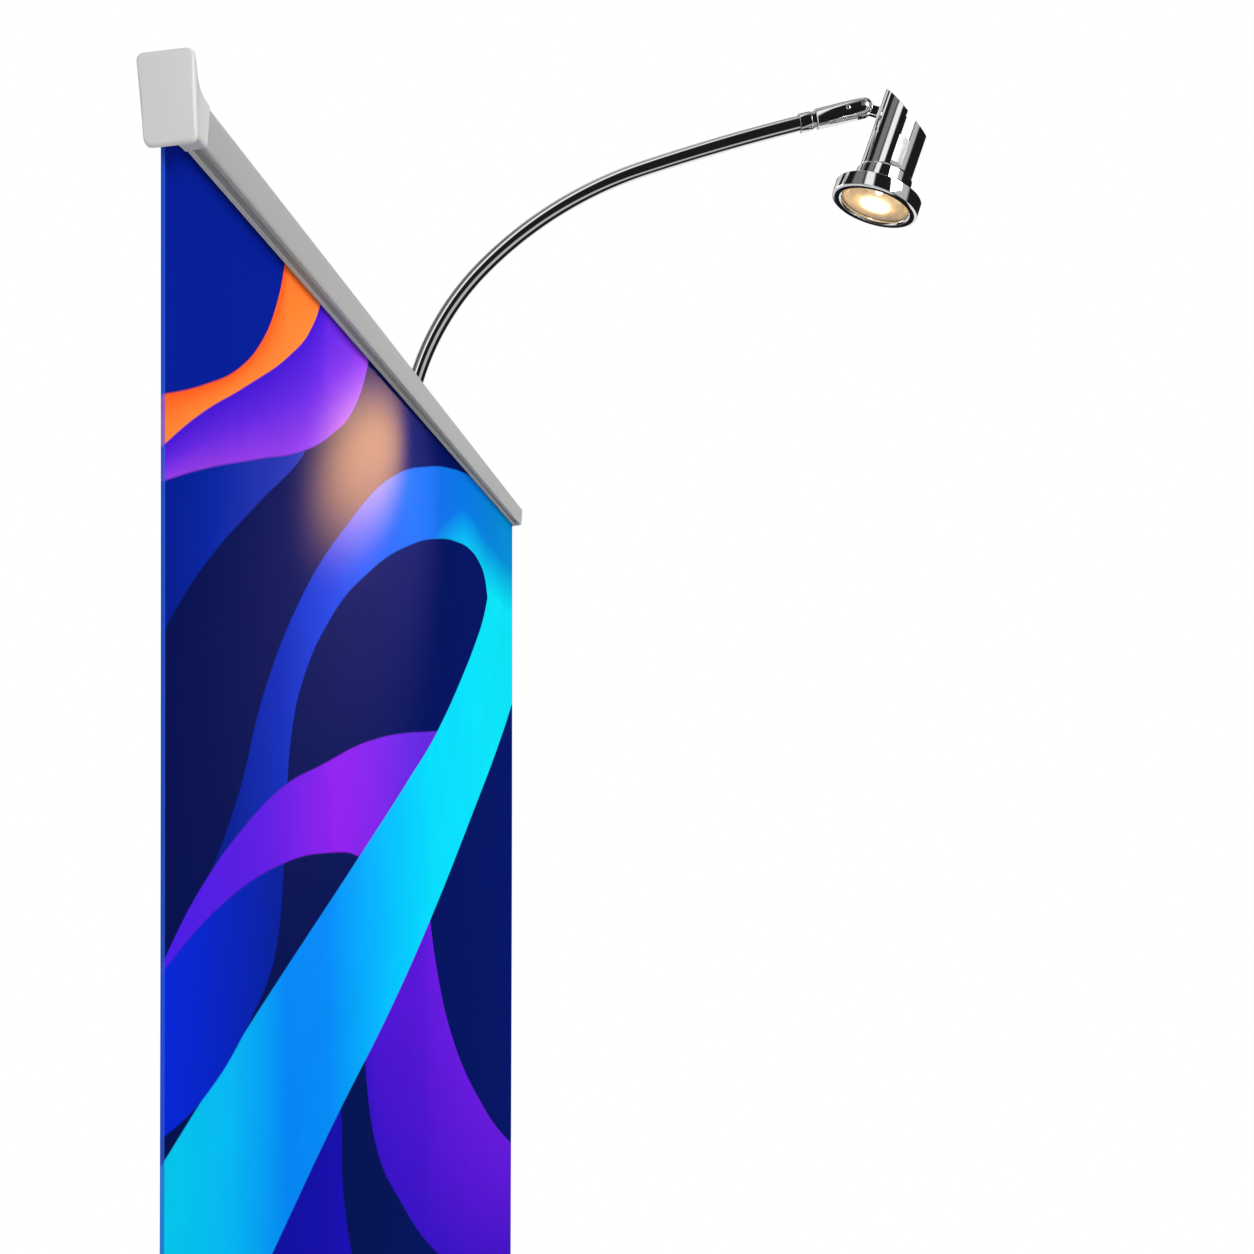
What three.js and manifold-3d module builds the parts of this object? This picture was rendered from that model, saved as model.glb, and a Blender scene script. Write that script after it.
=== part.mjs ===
// Roll-up banner stand with a clip-on halogen spot: a floor cassette that winds the graphic,
// two swivel feet, a telescopic pole, a top rail with end caps and a curved lamp arm.
// Millimetres, +Z up. +X is the right end seen from the printed side, which faces -Y.
// The origin is on the floor, under the middle of the graphic.
import * as THREE from "three";
import { mergeVertices } from "three/addons/utils/BufferGeometryUtils.js";
import Module from "manifold-3d";

const wasm = await Module();
wasm.setup();

// ---- driving dimensions -------------------------------------------------------------
const GRAPHIC_WIDTH = 850;
const GRAPHIC_THICKNESS = 0.6;
const RAIL_Z = 2060; // underside bead of the top rail, above the floor
const CLEARANCE = 0.3; // between pieces that touch
const RUNNING_CLEARANCE = 0.4; // round pieces that turn or slide

const BASE_BACK = 44;
const BASE_BOTTOM = 14;
const BASE_HEIGHT = 74;
const BASE_WALL = 2.4;
const BASE_FRONT_RADIUS = 24;
const BASE_BACK_RADIUS = 8;
const BASE_CAP_THICKNESS = 10;
const BASE_CAP_LIP = 1.4; // how far an end cap stands proud of the housing
const SLOT_WIDTH = 6;

const FOOT_LENGTH = 376;
const FOOT_WIDTH = 34;
const FOOT_THICKNESS = 9;
const FOOT_INSET = 175; // pivot, in from the end of the graphic
const PAD_THICKNESS = 3;
const PAD_SIZE = 26;
const BOLT_RADIUS = 4;
const BOLT_HEAD_RADIUS = 8;
const CENTRE_PAD_RADIUS = 20;

const ROLLER_RADIUS = 14;
const ROLLER_WALL = 1.6;
const WOUND_RADIUS = 20;
const ROLL_ROOM = 7; // from the wound graphic to the cassette's front wall
const BASE_FRONT = -(2 * WOUND_RADIUS + GRAPHIC_THICKNESS / 2 + CLEARANCE + ROLL_ROOM + BASE_WALL);
const AXLE_RADIUS = 4;
const SPRING_WIRE = 0.9;
const SPRING_RADIUS = 8;
const SPRING_TURNS = 10;
const SPRING_LENGTH = 90;

const POLE_Y = 24;
const POLE_RADII = [12.5, 10.9, 9.3]; // lower, middle and upper tube
const POLE_WALL = 1.2;
const POLE_SECTION = 670;
const POLE_OVERLAP = 42;
const TWIST_LENGTH = 34;
const TWIST_WALL = 4;
const SOCKET_HEIGHT = 30;
const SOCKET_WALL = 3;

const RAIL_DEPTH = 14;
const RAIL_FACE = 14; // height of the upright front face
const RAIL_CREST = 17; // top of the rounded back, above the bead
const RAIL_SLOT = 2;
const GRAPHIC_IN_RAIL = 8.9; // from the rail's front bead back to the graphic
const CAP_LENGTH = 25;
const CAP_FACE = [[-6.4, -10.6], [13.8, -12.2], [16.9, 22.6], [-5.2, 24.3]];
const CAP_CORNER = 3;
const FLUSH_CAP_THICKNESS = 4.5;

const ARM_X = 25;
const ARM_RADIUS = 5.2;
const ARM_BEHIND_RAIL = 4.4; // from the rail's back to the arm's tube
const ARM_ROOT = { // where the arm starts to curve; z is from the rail bead
  y: RAIL_DEPTH - GRAPHIC_IN_RAIL + ARM_BEHIND_RAIL + ARM_RADIUS,
  z: -22.6,
};
const ARM_STRAIGHT = 38;
const ARM_ARCS = [[183.5, 45.4], [271.8, 27.9], [1531, 4.2]]; // radius, sweep in degrees
const BRACKET_HEIGHT = 34;
const KNOB_RADIUS = 11;

const COLLAR_LENGTH = 11.5;
const COLLAR_RADIUS = 6.3;
const BARREL_LENGTH = 33;
const BARREL_RADIUS = 6.8;
const LUG_THICKNESS = 4;
const LUG_REACH = 11.2; // pivot to the outside of the shell
const HEAD_TILT = 19; // degrees from straight down
const RING_RADIUS = 30.5;
const RING_HEIGHT = 10;
const LENS_RADIUS = 23.8;
const LENS_THICKNESS = 1.6;
const NECK_RADIUS = 20.5;
const NECK_TOP = 23; // all head heights are above the ring's front edge
const SHELL_RADIUS = 18.4;
const SHELL_WALL = 1.2;
const SHELL_CUT = { high: 80, low: 56, lean: 0.37 }; // lean is its rise over +X
const SHELL_GAP = [-8.4, -0.8]; // the open slot between the two shells
const PIVOT_HEIGHT = 62.5;

// ---- small geometry helpers ---------------------------------------------------------
const rad = THREE.MathUtils.degToRad;

function toManifold(geometry) {
  const bare = geometry.clone();
  for (const name of Object.keys(bare.attributes)) {
    if (name !== "position") bare.deleteAttribute(name);
  }
  const merged = mergeVertices(bare, 1e-4);
  const solid = new wasm.Manifold(new wasm.Mesh({
    numProp: 3,
    vertProperties: new Float32Array(merged.attributes.position.array),
    triVerts: new Uint32Array(merged.index.array),
  }));
  if (solid.volume() > 0) return solid;
  const flipped = merged.index.array.slice().reverse();
  return new wasm.Manifold(new wasm.Mesh({
    numProp: 3,
    vertProperties: new Float32Array(merged.attributes.position.array),
    triVerts: new Uint32Array(flipped),
  }));
}

function toGeometry(solid) {
  const mesh = solid.getMesh();
  const geometry = new THREE.BufferGeometry();
  geometry.setAttribute("position", new THREE.BufferAttribute(mesh.vertProperties, 3));
  geometry.setIndex(new THREE.BufferAttribute(mesh.triVerts, 1));
  return geometry;
}

function cut(geometry, ...tools) {
  let solid = toManifold(geometry);
  for (const tool of tools) solid = solid.subtract(toManifold(tool));
  return toGeometry(solid);
}

function join(...geometries) {
  let solid = toManifold(geometries[0]);
  for (const other of geometries.slice(1)) solid = solid.add(toManifold(other));
  return toGeometry(solid);
}

function overlap(first, second) {
  return toGeometry(toManifold(first).intersect(toManifold(second)));
}

function box(x0, x1, y0, y1, z0, z1) {
  const geometry = new THREE.BoxGeometry(x1 - x0, y1 - y0, z1 - z0);
  return geometry.translate((x0 + x1) / 2, (y0 + y1) / 2, (z0 + z1) / 2);
}

// A profile of [radius, height] pairs turned about the Z axis; it starts and ends on the
// axis or comes back to its first point.
function turned(profile, segments = 22) {
  const points = profile.map(([r, z]) => new THREE.Vector2(r, z));
  return new THREE.LatheGeometry(points, segments).rotateX(Math.PI / 2);
}

function rod(radius, z0, z1, segments = 22) {
  return turned([[0, z0], [radius, z0], [radius, z1], [0, z1]], segments);
}

function pipe(outer, inner, z0, z1, segments = 24) {
  return turned([[inner, z0], [outer, z0], [outer, z1], [inner, z1], [inner, z0]], segments);
}

// An outline of [y, z] pairs, with holes, carried along X.
function alongX(outline, x0, x1, holes = []) {
  const shape = new THREE.Shape(outline.map(([y, z]) => new THREE.Vector2(y, z)));
  for (const hole of holes) {
    shape.holes.push(new THREE.Path(hole.map(([y, z]) => new THREE.Vector2(y, z))));
  }
  const geometry = new THREE.ExtrudeGeometry(shape, { depth: x1 - x0, bevelEnabled: false });
  const turn = new THREE.Matrix4().makeBasis(
    new THREE.Vector3(0, 1, 0), new THREE.Vector3(0, 0, 1), new THREE.Vector3(1, 0, 0));
  return geometry.applyMatrix4(turn).translate(x0, 0, 0);
}

// Points round a polygon whose corners are rounded: corners are [a, b, radius].
function rounded(corners, steps = 5) {
  const points = [];
  corners.forEach(([a, b, radius], i) => {
    const before = corners[(i + corners.length - 1) % corners.length];
    const after = corners[(i + 1) % corners.length];
    const here = new THREE.Vector2(a, b);
    const toBefore = new THREE.Vector2(before[0] - a, before[1] - b).normalize();
    const toAfter = new THREE.Vector2(after[0] - a, after[1] - b).normalize();
    if (!radius) {
      points.push([a, b]);
      return;
    }
    const half = Math.acos(THREE.MathUtils.clamp(toBefore.dot(toAfter), -1, 1)) / 2;
    const middle = toBefore.clone().add(toAfter).normalize();
    const centre = here.clone().addScaledVector(middle, radius / Math.sin(half));
    const start = here.clone().addScaledVector(toBefore, radius / Math.tan(half)).sub(centre);
    const end = here.clone().addScaledVector(toAfter, radius / Math.tan(half)).sub(centre);
    let sweep = end.angle() - start.angle();
    if (sweep > Math.PI) sweep -= 2 * Math.PI;
    if (sweep < -Math.PI) sweep += 2 * Math.PI;
    for (let k = 0; k <= steps; k += 1) {
      const turn = start.angle() + (sweep * k) / steps;
      points.push([centre.x + radius * Math.cos(turn), centre.y + radius * Math.sin(turn)]);
    }
  });
  return points;
}

// The same outline moved outwards by a distance, for a counter-clockwise outline.
function grown(outline, distance) {
  return outline.map(([a, b], i) => {
    const [a0, b0] = outline[(i + outline.length - 1) % outline.length];
    const [a1, b1] = outline[(i + 1) % outline.length];
    const first = new THREE.Vector2(b - b0, a0 - a).normalize();
    const second = new THREE.Vector2(b1 - b, a - a1).normalize();
    const normal = first.add(second);
    normal.multiplyScalar(2 / Math.max(normal.lengthSq(), 1));
    return [a + normal.x * distance, b + normal.y * distance];
  });
}

// A round tube along a curve, as an extruded ring or disc.
function bent(curve, radius, sides, steps) {
  const shape = new THREE.Shape();
  for (let k = 0; k < sides; k += 1) {
    const turn = (2 * Math.PI * k) / sides;
    const point = [radius * Math.cos(turn), radius * Math.sin(turn)];
    if (k === 0) shape.moveTo(...point);
    else shape.lineTo(...point);
  }
  shape.closePath();
  return new THREE.ExtrudeGeometry(shape, { steps, bevelEnabled: false, extrudePath: curve });
}

// ---- finishes -----------------------------------------------------------------------
function finish(color, roughness, metalness) {
  return new THREE.MeshStandardMaterial({ color, roughness, metalness });
}
const FINISH = {
  anodised: finish(0xc4c5c6, 0.42, 0.9),
  satinPlastic: finish(0xd9dadb, 0.45, 0),
  darkPlastic: finish(0x2b2c2e, 0.55, 0),
  rubber: finish(0x1c1c1d, 0.85, 0),
  steel: finish(0xa9abad, 0.35, 1),
  springSteel: finish(0x55585b, 0.4, 1),
  chrome: finish(0xe6e7e8, 0.06, 1),
  film: finish(0x14188a, 0.5, 0),
  glass: finish(0xfff1d6, 0.05, 0),
  reflector: finish(0xf3e3bd, 0.12, 1),
  ceramic: finish(0xf4f2ec, 0.5, 0),
};

const stand = new THREE.Group();
function piece(name, geometry, material, parent = stand) {
  const mesh = new THREE.Mesh(geometry, material);
  mesh.name = name;
  parent.add(mesh);
  return mesh;
}

// ---- cassette -----------------------------------------------------------------------
const HOUSING_END = GRAPHIC_WIDTH / 2 + 5;
const BASE_TOP = BASE_BOTTOM + BASE_HEIGHT;

function housingOutline(inset) {
  return rounded([
    [BASE_FRONT + inset, BASE_BOTTOM + inset, 5],
    [BASE_BACK - inset, BASE_BOTTOM + inset, 5],
    [BASE_BACK - inset, BASE_TOP - inset, BASE_BACK_RADIUS - inset],
    [BASE_FRONT + inset, BASE_TOP - inset, BASE_FRONT_RADIUS - inset],
  ], 7);
}

const footX = GRAPHIC_WIDTH / 2 - FOOT_INSET;
const boltHole = BOLT_RADIUS + CLEARANCE;
const bolt = rod(boltHole, BASE_BOTTOM - 1, BASE_BOTTOM + BASE_WALL + 1, 20);
piece("base_housing", cut(
  alongX(housingOutline(0), -HOUSING_END, HOUSING_END, [housingOutline(BASE_WALL)]),
  box(-HOUSING_END - 1, HOUSING_END + 1, -SLOT_WIDTH / 2, SLOT_WIDTH / 2,
    BASE_TOP - BASE_WALL - 1, BASE_TOP + 1),
  bolt.clone().translate(footX, 0, 0),
  bolt.clone().translate(-footX, 0, 0),
), FINISH.anodised);

const ROLLER_Y = -(WOUND_RADIUS + GRAPHIC_THICKNESS / 2 + CLEARANCE);
const ROLLER_Z = BASE_BOTTOM + BASE_WALL + WOUND_RADIUS + 13;
const capInside = HOUSING_END + CLEARANCE;
const axleBore = rod(AXLE_RADIUS + CLEARANCE, -1, 5.3, 20)
  .rotateY(Math.PI / 2).translate(0, ROLLER_Y, ROLLER_Z);
const LOCK_RADIUS = 3;
const LOCK_OFFSET = 10; // below the axle
const lockBore = rod(LOCK_RADIUS + RUNNING_CLEARANCE, -1, BASE_CAP_THICKNESS + 1, 20)
  .rotateY(Math.PI / 2).translate(capInside, ROLLER_Y, ROLLER_Z - LOCK_OFFSET);
const baseCap = alongX(grown(housingOutline(0), BASE_CAP_LIP),
  capInside, capInside + BASE_CAP_THICKNESS);
piece("base_cap_right", cut(baseCap, axleBore.clone().translate(capInside, 0, 0), lockBore),
  FINISH.darkPlastic);
piece("base_cap_left", cut(
  baseCap.clone().translate(-2 * capInside - BASE_CAP_THICKNESS, 0, 0),
  axleBore.clone().translate(-capInside - 5, 0, 0),
), FINISH.darkPlastic);

// A pull pin in the right cap that locks the roller for transport.
const LOCK_REACH = 4; // into the roller's hole when it is pushed home
const LOCK_TRAVEL = 5;
const pinTip = LOCK_TRAVEL - LOCK_REACH;
const knobFace = BASE_CAP_THICKNESS + LOCK_TRAVEL + 1;
const lockPin = turned([[0, pinTip], [LOCK_RADIUS, pinTip], [LOCK_RADIUS, knobFace - 0.5],
  [7, knobFace], [7, knobFace + 7], [5, knobFace + 9], [0, knobFace + 9]], 22).rotateY(Math.PI / 2);
piece("lock_pin", lockPin.translate(capInside, ROLLER_Y, ROLLER_Z - LOCK_OFFSET), FINISH.rubber);

// ---- roller, wound graphic and recoil spring -------------------------------------------
const rollerHalf = GRAPHIC_WIDTH / 2 + 1;
const acrossX = (geometry) => geometry.rotateY(Math.PI / 2).translate(0, ROLLER_Y, ROLLER_Z);
piece("roller_tube", acrossX(pipe(ROLLER_RADIUS, ROLLER_RADIUS - ROLLER_WALL,
  -rollerHalf, rollerHalf)), FINISH.anodised);
piece("wound_graphic", acrossX(pipe(WOUND_RADIUS, ROLLER_RADIUS + CLEARANCE,
  -GRAPHIC_WIDTH / 2, GRAPHIC_WIDTH / 2, 28)), FINISH.film);
const plugFlange = ROLLER_RADIUS - 1;
const plugNeck = ROLLER_RADIUS - ROLLER_WALL - CLEARANCE;
const axleHole = AXLE_RADIUS + RUNNING_CLEARANCE;
const plug = pipe(plugNeck, axleHole, -18, 0);
const flange = pipe(plugFlange, axleHole, CLEARANCE, 2.4);
for (const [side, turn] of [["left", -1], ["right", 1]]) {
  let shape = join(plug.clone(), pipe(plugNeck, axleHole, -1, 1), flange.clone());
  if (side === "right") {
    shape = cut(shape, rod(LOCK_RADIUS + 1, -12, 4, 16).translate(LOCK_OFFSET, 0, 0));
  }
  shape.translate(0, 0, rollerHalf);
  shape.rotateY((turn * Math.PI) / 2);
  piece(`roller_plug_${side}`, shape.translate(0, ROLLER_Y, ROLLER_Z), FINISH.darkPlastic);
}
const axleHalf = capInside + 5 - CLEARANCE;
piece("roller_axle", acrossX(rod(AXLE_RADIUS, -axleHalf, axleHalf, 20)), FINISH.steel);

class Helix extends THREE.Curve {
  getPoint(t, target = new THREE.Vector3()) {
    const turn = 2 * Math.PI * SPRING_TURNS * t;
    const [y, z] = [SPRING_RADIUS * Math.cos(turn), SPRING_RADIUS * Math.sin(turn)];
    return target.set(SPRING_LENGTH * t, y, z);
  }
}
piece("recoil_spring", bent(new Helix(), SPRING_WIRE, 5, SPRING_TURNS * 9)
  .translate(-rollerHalf + 30, ROLLER_Y, ROLLER_Z), FINISH.springSteel);

// ---- feet ------------------------------------------------------------------------------
const FOOT_BOTTOM = PAD_THICKNESS;
const footOutline = rounded([
  [-FOOT_WIDTH / 2, -FOOT_LENGTH / 2, 12], [FOOT_WIDTH / 2, -FOOT_LENGTH / 2, 12],
  [FOOT_WIDTH / 2, FOOT_LENGTH / 2, 12], [-FOOT_WIDTH / 2, FOOT_LENGTH / 2, 12],
], 5).map(([a, b]) => new THREE.Vector2(a, b));
const padOutline = rounded([
  [-PAD_SIZE / 2, -PAD_SIZE / 2, 6], [PAD_SIZE / 2, -PAD_SIZE / 2, 6],
  [PAD_SIZE / 2, PAD_SIZE / 2, 6], [-PAD_SIZE / 2, PAD_SIZE / 2, 6],
], 3).map(([a, b]) => new THREE.Vector2(a, b));
for (const [side, turn] of [["left", -1], ["right", 1]]) {
  const bar = new THREE.ExtrudeGeometry(new THREE.Shape(footOutline),
    { depth: FOOT_THICKNESS - CLEARANCE, bevelEnabled: false });
  const foot = new THREE.Group();
  foot.position.set(turn * footX, 0, 0);
  stand.add(foot);
  const headRoom = rod(BOLT_HEAD_RADIUS + CLEARANCE, 0, FOOT_BOTTOM + 4, 24);
  piece(`foot_${side}`, cut(bar.translate(0, 0, FOOT_BOTTOM + CLEARANCE), headRoom,
    rod(boltHole, 0, BASE_BOTTOM, 20)), FINISH.anodised, foot);
  piece(`foot_washer_${side}`, pipe(11, boltHole, FOOT_BOTTOM + FOOT_THICKNESS + CLEARANCE,
    BASE_BOTTOM - CLEARANCE, 24), FINISH.darkPlastic, foot);
  piece(`foot_bolt_${side}`, turned([[0, FOOT_BOTTOM + 0.8], [BOLT_HEAD_RADIUS, FOOT_BOTTOM + 0.8],
    [BOLT_HEAD_RADIUS, FOOT_BOTTOM + 3.7], [BOLT_RADIUS, FOOT_BOTTOM + 3.7],
    [BOLT_RADIUS, BASE_BOTTOM + BASE_WALL + 6], [0, BASE_BOTTOM + BASE_WALL + 6]], 24),
  FINISH.steel, foot);
  for (const [end, way] of [["front", -1], ["back", 1]]) {
    const pad = new THREE.ExtrudeGeometry(new THREE.Shape(padOutline),
      { depth: PAD_THICKNESS, bevelEnabled: false });
    pad.translate(0, way * (FOOT_LENGTH / 2 - PAD_SIZE / 2 - 5), 0);
    piece(`foot_pad_${side}_${end}`, pad, FINISH.rubber, foot);
  }
}
piece("centre_pad", rod(CENTRE_PAD_RADIUS, 0, BASE_BOTTOM - CLEARANCE), FINISH.rubber);

// ---- telescopic pole ----------------------------------------------------------------------
const pole = new THREE.Group();
pole.position.set(0, POLE_Y, 0);
stand.add(pole);
const SOCKET_FLOOR = BASE_TOP + CLEARANCE + 3;
const tubeFoot = SOCKET_FLOOR + CLEARANCE;
const socketBore = POLE_RADII[0] + CLEARANCE;
const socketOuter = socketBore + SOCKET_WALL;
const socketTop = SOCKET_FLOOR + SOCKET_HEIGHT;
piece("pole_socket", turned([[0, BASE_TOP + CLEARANCE], [socketOuter, BASE_TOP + CLEARANCE],
  [socketOuter, socketTop - 2], [socketOuter - 1.2, socketTop],
  [socketBore, socketTop], [socketBore, SOCKET_FLOOR], [0, SOCKET_FLOOR]]),
FINISH.darkPlastic, pole);

const lowerTop = tubeFoot + POLE_SECTION;
const middleFoot = lowerTop - POLE_OVERLAP;
const middleTop = middleFoot + POLE_SECTION;
const upperFoot = middleTop - POLE_OVERLAP;
const upperTop = RAIL_Z - 9;
const spans = [[tubeFoot, lowerTop], [middleFoot, middleTop], [upperFoot, upperTop]];
["pole_lower", "pole_middle", "pole_upper"].forEach((name, i) => {
  const [z0, z1] = spans[i];
  piece(name, pipe(POLE_RADII[i], POLE_RADII[i] - POLE_WALL, z0, z1, 28), FINISH.anodised, pole);
});
[["twist_lock_lower", 0, lowerTop], ["twist_lock_upper", 1, middleTop]].forEach(([name, i, top]) => {
  const grip = POLE_RADII[i] + CLEARANCE;
  const inner = POLE_RADII[i + 1] + CLEARANCE;
  const outer = grip + TWIST_WALL;
  const foot = top - TWIST_LENGTH + 8;
  const ring = turned([[grip, foot], [outer - 1, foot], [outer, foot + 1], [outer, top + 4],
    [outer - 2, top + 8], [inner, top + 8], [inner, top + CLEARANCE], [grip, top + CLEARANCE],
    [grip, foot]], 24);
  const flutes = [];
  for (let k = 0; k < 8; k += 1) {
    const turn = (2 * Math.PI * k) / 8;
    flutes.push(rod(1.6, foot + 3, top + 1, 6)
      .translate((outer + 0.7) * Math.cos(turn), (outer + 0.7) * Math.sin(turn), 0));
  }
  piece(name, cut(ring, ...flutes), FINISH.darkPlastic, pole);
});

// The hook that caps the pole and reaches into the groove in the back of the rail.
const railBack = RAIL_DEPTH - GRAPHIC_IN_RAIL;
const GROOVE = { z: 3, height: 5, depth: 2.6 };
const hookRadius = POLE_RADII[2] + 1.6;
const hookTop = GROOVE.z + GROOVE.height - CLEARANCE;
piece("pole_hook", join(
  turned([[0, upperTop + CLEARANCE], [hookRadius, upperTop + CLEARANCE],
    [hookRadius, RAIL_Z + hookTop - 1], [hookRadius - 1, RAIL_Z + hookTop], [0, RAIL_Z + hookTop]]),
  box(-9, 9, railBack - GROOVE.depth + CLEARANCE - POLE_Y, 0,
    RAIL_Z + GROOVE.z + CLEARANCE, RAIL_Z + hookTop),
), FINISH.darkPlastic, pole);

// ---- top rail -------------------------------------------------------------------------------
const rail = new THREE.Group();
rail.position.set(0, -GRAPHIC_IN_RAIL, RAIL_Z);
stand.add(rail);

const slotFront = GRAPHIC_IN_RAIL - RAIL_SLOT / 2;
const slotBack = GRAPHIC_IN_RAIL + RAIL_SLOT / 2;
const SLOT_DEPTH = 9;
// Closed outline without the slot, counter-clockwise from the front bead.
function railSkin() {
  return rounded([
    [0.2, -0.8, 0.9],
    [RAIL_DEPTH, -3, 1.2],
    [RAIL_DEPTH, RAIL_FACE - 1, 1.5],
    [RAIL_DEPTH / 2 - 1, RAIL_CREST, 9],
    [-0.9, RAIL_FACE + 0.4, 1.6],
  ], 4);
}
const railBody = cut(
  alongX(railSkin(), -GRAPHIC_WIDTH / 2 + 2, HOUSING_END - FLUSH_CAP_THICKNESS - CLEARANCE),
  box(-HOUSING_END, HOUSING_END, slotFront, slotBack, -6, SLOT_DEPTH),
  box(-HOUSING_END, HOUSING_END, 1.7, slotFront - 2.2, -6, 2.4),
  box(-HOUSING_END, HOUSING_END, 1.8, slotFront - 1.6, 4.4, RAIL_FACE - 2),
  box(-HOUSING_END, HOUSING_END, RAIL_DEPTH - GROOVE.depth, RAIL_DEPTH + 2,
    GROOVE.z, GROOVE.z + GROOVE.height),
);
piece("top_rail", railBody, FINISH.anodised, rail);

// Distance from a centre to a closed outline in a direction, for lofting.
function reach(outline, centre, turn) {
  const way = new THREE.Vector2(Math.cos(turn), Math.sin(turn));
  let best = 0;
  outline.forEach(([a0, b0], i) => {
    const [a1, b1] = outline[(i + 1) % outline.length];
    const edge = new THREE.Vector2(a1 - a0, b1 - b0);
    const from = new THREE.Vector2(a0 - centre[0], b0 - centre[1]);
    const cross = way.cross(edge);
    if (Math.abs(cross) < 1e-9) return;
    const along = from.cross(edge) / cross;
    const across = from.cross(way) / cross;
    if (along > best && across >= -1e-6 && across <= 1 + 1e-6) best = along;
  });
  return best;
}

// The end block: a rounded face that eases into the rail's own section.
function blockCap() {
  const centre = [6, 7];
  const face = rounded(CAP_FACE.map(([a, b]) => [a, b, CAP_CORNER]), 4);
  const neck = grown(railSkin(), 0.8);
  const sides = 28;
  // distance from the end face, how far the edge is drawn in, and how much of the ease is done
  const stations = [[0, -1.5, 0], [0.5, -0.5, 0], [1.6, 0, 0], [4, 0, 0.13], [7, 0, 0.37],
    [10, 0, 0.57], [14, 0, 0.77], [19, 0, 0.93], [CAP_LENGTH, 0, 1]];
  const positions = [];
  const index = [];
  for (const [x, inset, ease] of stations) {
    for (let k = 0; k < sides; k += 1) {
      const turn = (2 * Math.PI * (k + 0.5)) / sides;
      const [wide, slim] = [reach(face, centre, turn), reach(neck, centre, turn)];
      const r = THREE.MathUtils.lerp(wide, slim, ease) + inset;
      positions.push(x, centre[0] + r * Math.cos(turn), centre[1] + r * Math.sin(turn));
    }
  }
  for (let s = 0; s + 1 < stations.length; s += 1) {
    for (let k = 0; k < sides; k += 1) {
      const a = s * sides + k;
      const b = s * sides + ((k + 1) % sides);
      index.push(a, b + sides, b, a, a + sides, b + sides);
    }
  }
  const last = (stations.length - 1) * sides;
  positions.push(0, ...centre, CAP_LENGTH, ...centre);
  const hub = stations.length * sides;
  for (let k = 0; k < sides; k += 1) {
    const next = (k + 1) % sides;
    index.push(hub, k, next, hub + 1, last + next, last + k);
  }
  const geometry = new THREE.BufferGeometry();
  geometry.setAttribute("position", new THREE.Float32BufferAttribute(positions, 3));
  geometry.setIndex(index);
  return geometry.translate(-HOUSING_END, 0, 0);
}
piece("rail_cap_left", cut(
  blockCap(),
  alongX(grown(railSkin(), CLEARANCE), -GRAPHIC_WIDTH / 2 + 2 - CLEARANCE, 0),
  box(-GRAPHIC_WIDTH / 2 - CLEARANCE, 0, slotFront, slotBack, -30, SLOT_DEPTH),
), FINISH.satinPlastic, rail);
piece("rail_cap_right", cut(
  alongX(grown(railSkin(), 0.4), HOUSING_END - FLUSH_CAP_THICKNESS, HOUSING_END),
  box(0, GRAPHIC_WIDTH / 2 + CLEARANCE, slotFront, slotBack, -6, SLOT_DEPTH),
), FINISH.satinPlastic, rail);

// ---- graphic -----------------------------------------------------------------------------------
const graphicTop = RAIL_Z + SLOT_DEPTH - CLEARANCE;
piece("graphic_panel", box(-GRAPHIC_WIDTH / 2, GRAPHIC_WIDTH / 2, -GRAPHIC_THICKNESS / 2,
  GRAPHIC_THICKNESS / 2, ROLLER_Z, graphicTop), FINISH.film);

// ---- lamp bracket ---------------------------------------------------------------------------------
const armRootZ = RAIL_Z + ARM_ROOT.z;
const armFoot = armRootZ - ARM_STRAIGHT;
const bracketTop = armRootZ - 3;
const bracketFoot = bracketTop - BRACKET_HEIGHT;
const bracketOutline = rounded([
  [-15, POLE_Y - 14, 5], [ARM_X + 10, ARM_ROOT.y - 10, 5], [ARM_X + 10, ARM_ROOT.y + 10, 5],
  [12, POLE_Y + 14, 5], [-15, POLE_Y + 14, 5],
], 4).map(([a, b]) => new THREE.Vector2(a, b));
const bracketBlock = new THREE.ExtrudeGeometry(new THREE.Shape(bracketOutline),
  { depth: BRACKET_HEIGHT, bevelEnabled: false }).translate(0, 0, bracketFoot);
const KNOB_STEM = 3;
const stemHole = rod(KNOB_STEM + CLEARANCE, 0, 30, 16).rotateX(-Math.PI / 2)
  .translate(0, POLE_Y + POLE_RADII[2] - 2, bracketFoot + BRACKET_HEIGHT / 2);
piece("lamp_bracket", cut(
  bracketBlock,
  rod(POLE_RADII[2] + CLEARANCE, bracketFoot - 1, bracketTop + 1, 32).translate(0, POLE_Y, 0),
  rod(ARM_RADIUS + CLEARANCE, armFoot - CLEARANCE, bracketTop + 1, 24).translate(ARM_X, ARM_ROOT.y, 0),
  stemHole,
), FINISH.darkPlastic);

const knobBody = [[0, CLEARANCE], [KNOB_STEM, CLEARANCE], [KNOB_STEM, 6.5], [6, 6.5],
  [KNOB_RADIUS, 8.5], [KNOB_RADIUS, 17], [KNOB_RADIUS - 2, 19], [0, 19]];
const knobFlutes = [];
for (let k = 0; k < 6; k += 1) {
  const turn = (2 * Math.PI * k) / 6;
  const out = KNOB_RADIUS + 1;
  knobFlutes.push(rod(3, 7, 21, 10).translate(out * Math.cos(turn), out * Math.sin(turn), 0));
}
piece("bracket_knob", cut(turned(knobBody, 24), ...knobFlutes).rotateX(-Math.PI / 2)
  .translate(0, POLE_Y + POLE_RADII[2], bracketFoot + BRACKET_HEIGHT / 2), FINISH.darkPlastic);

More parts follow.
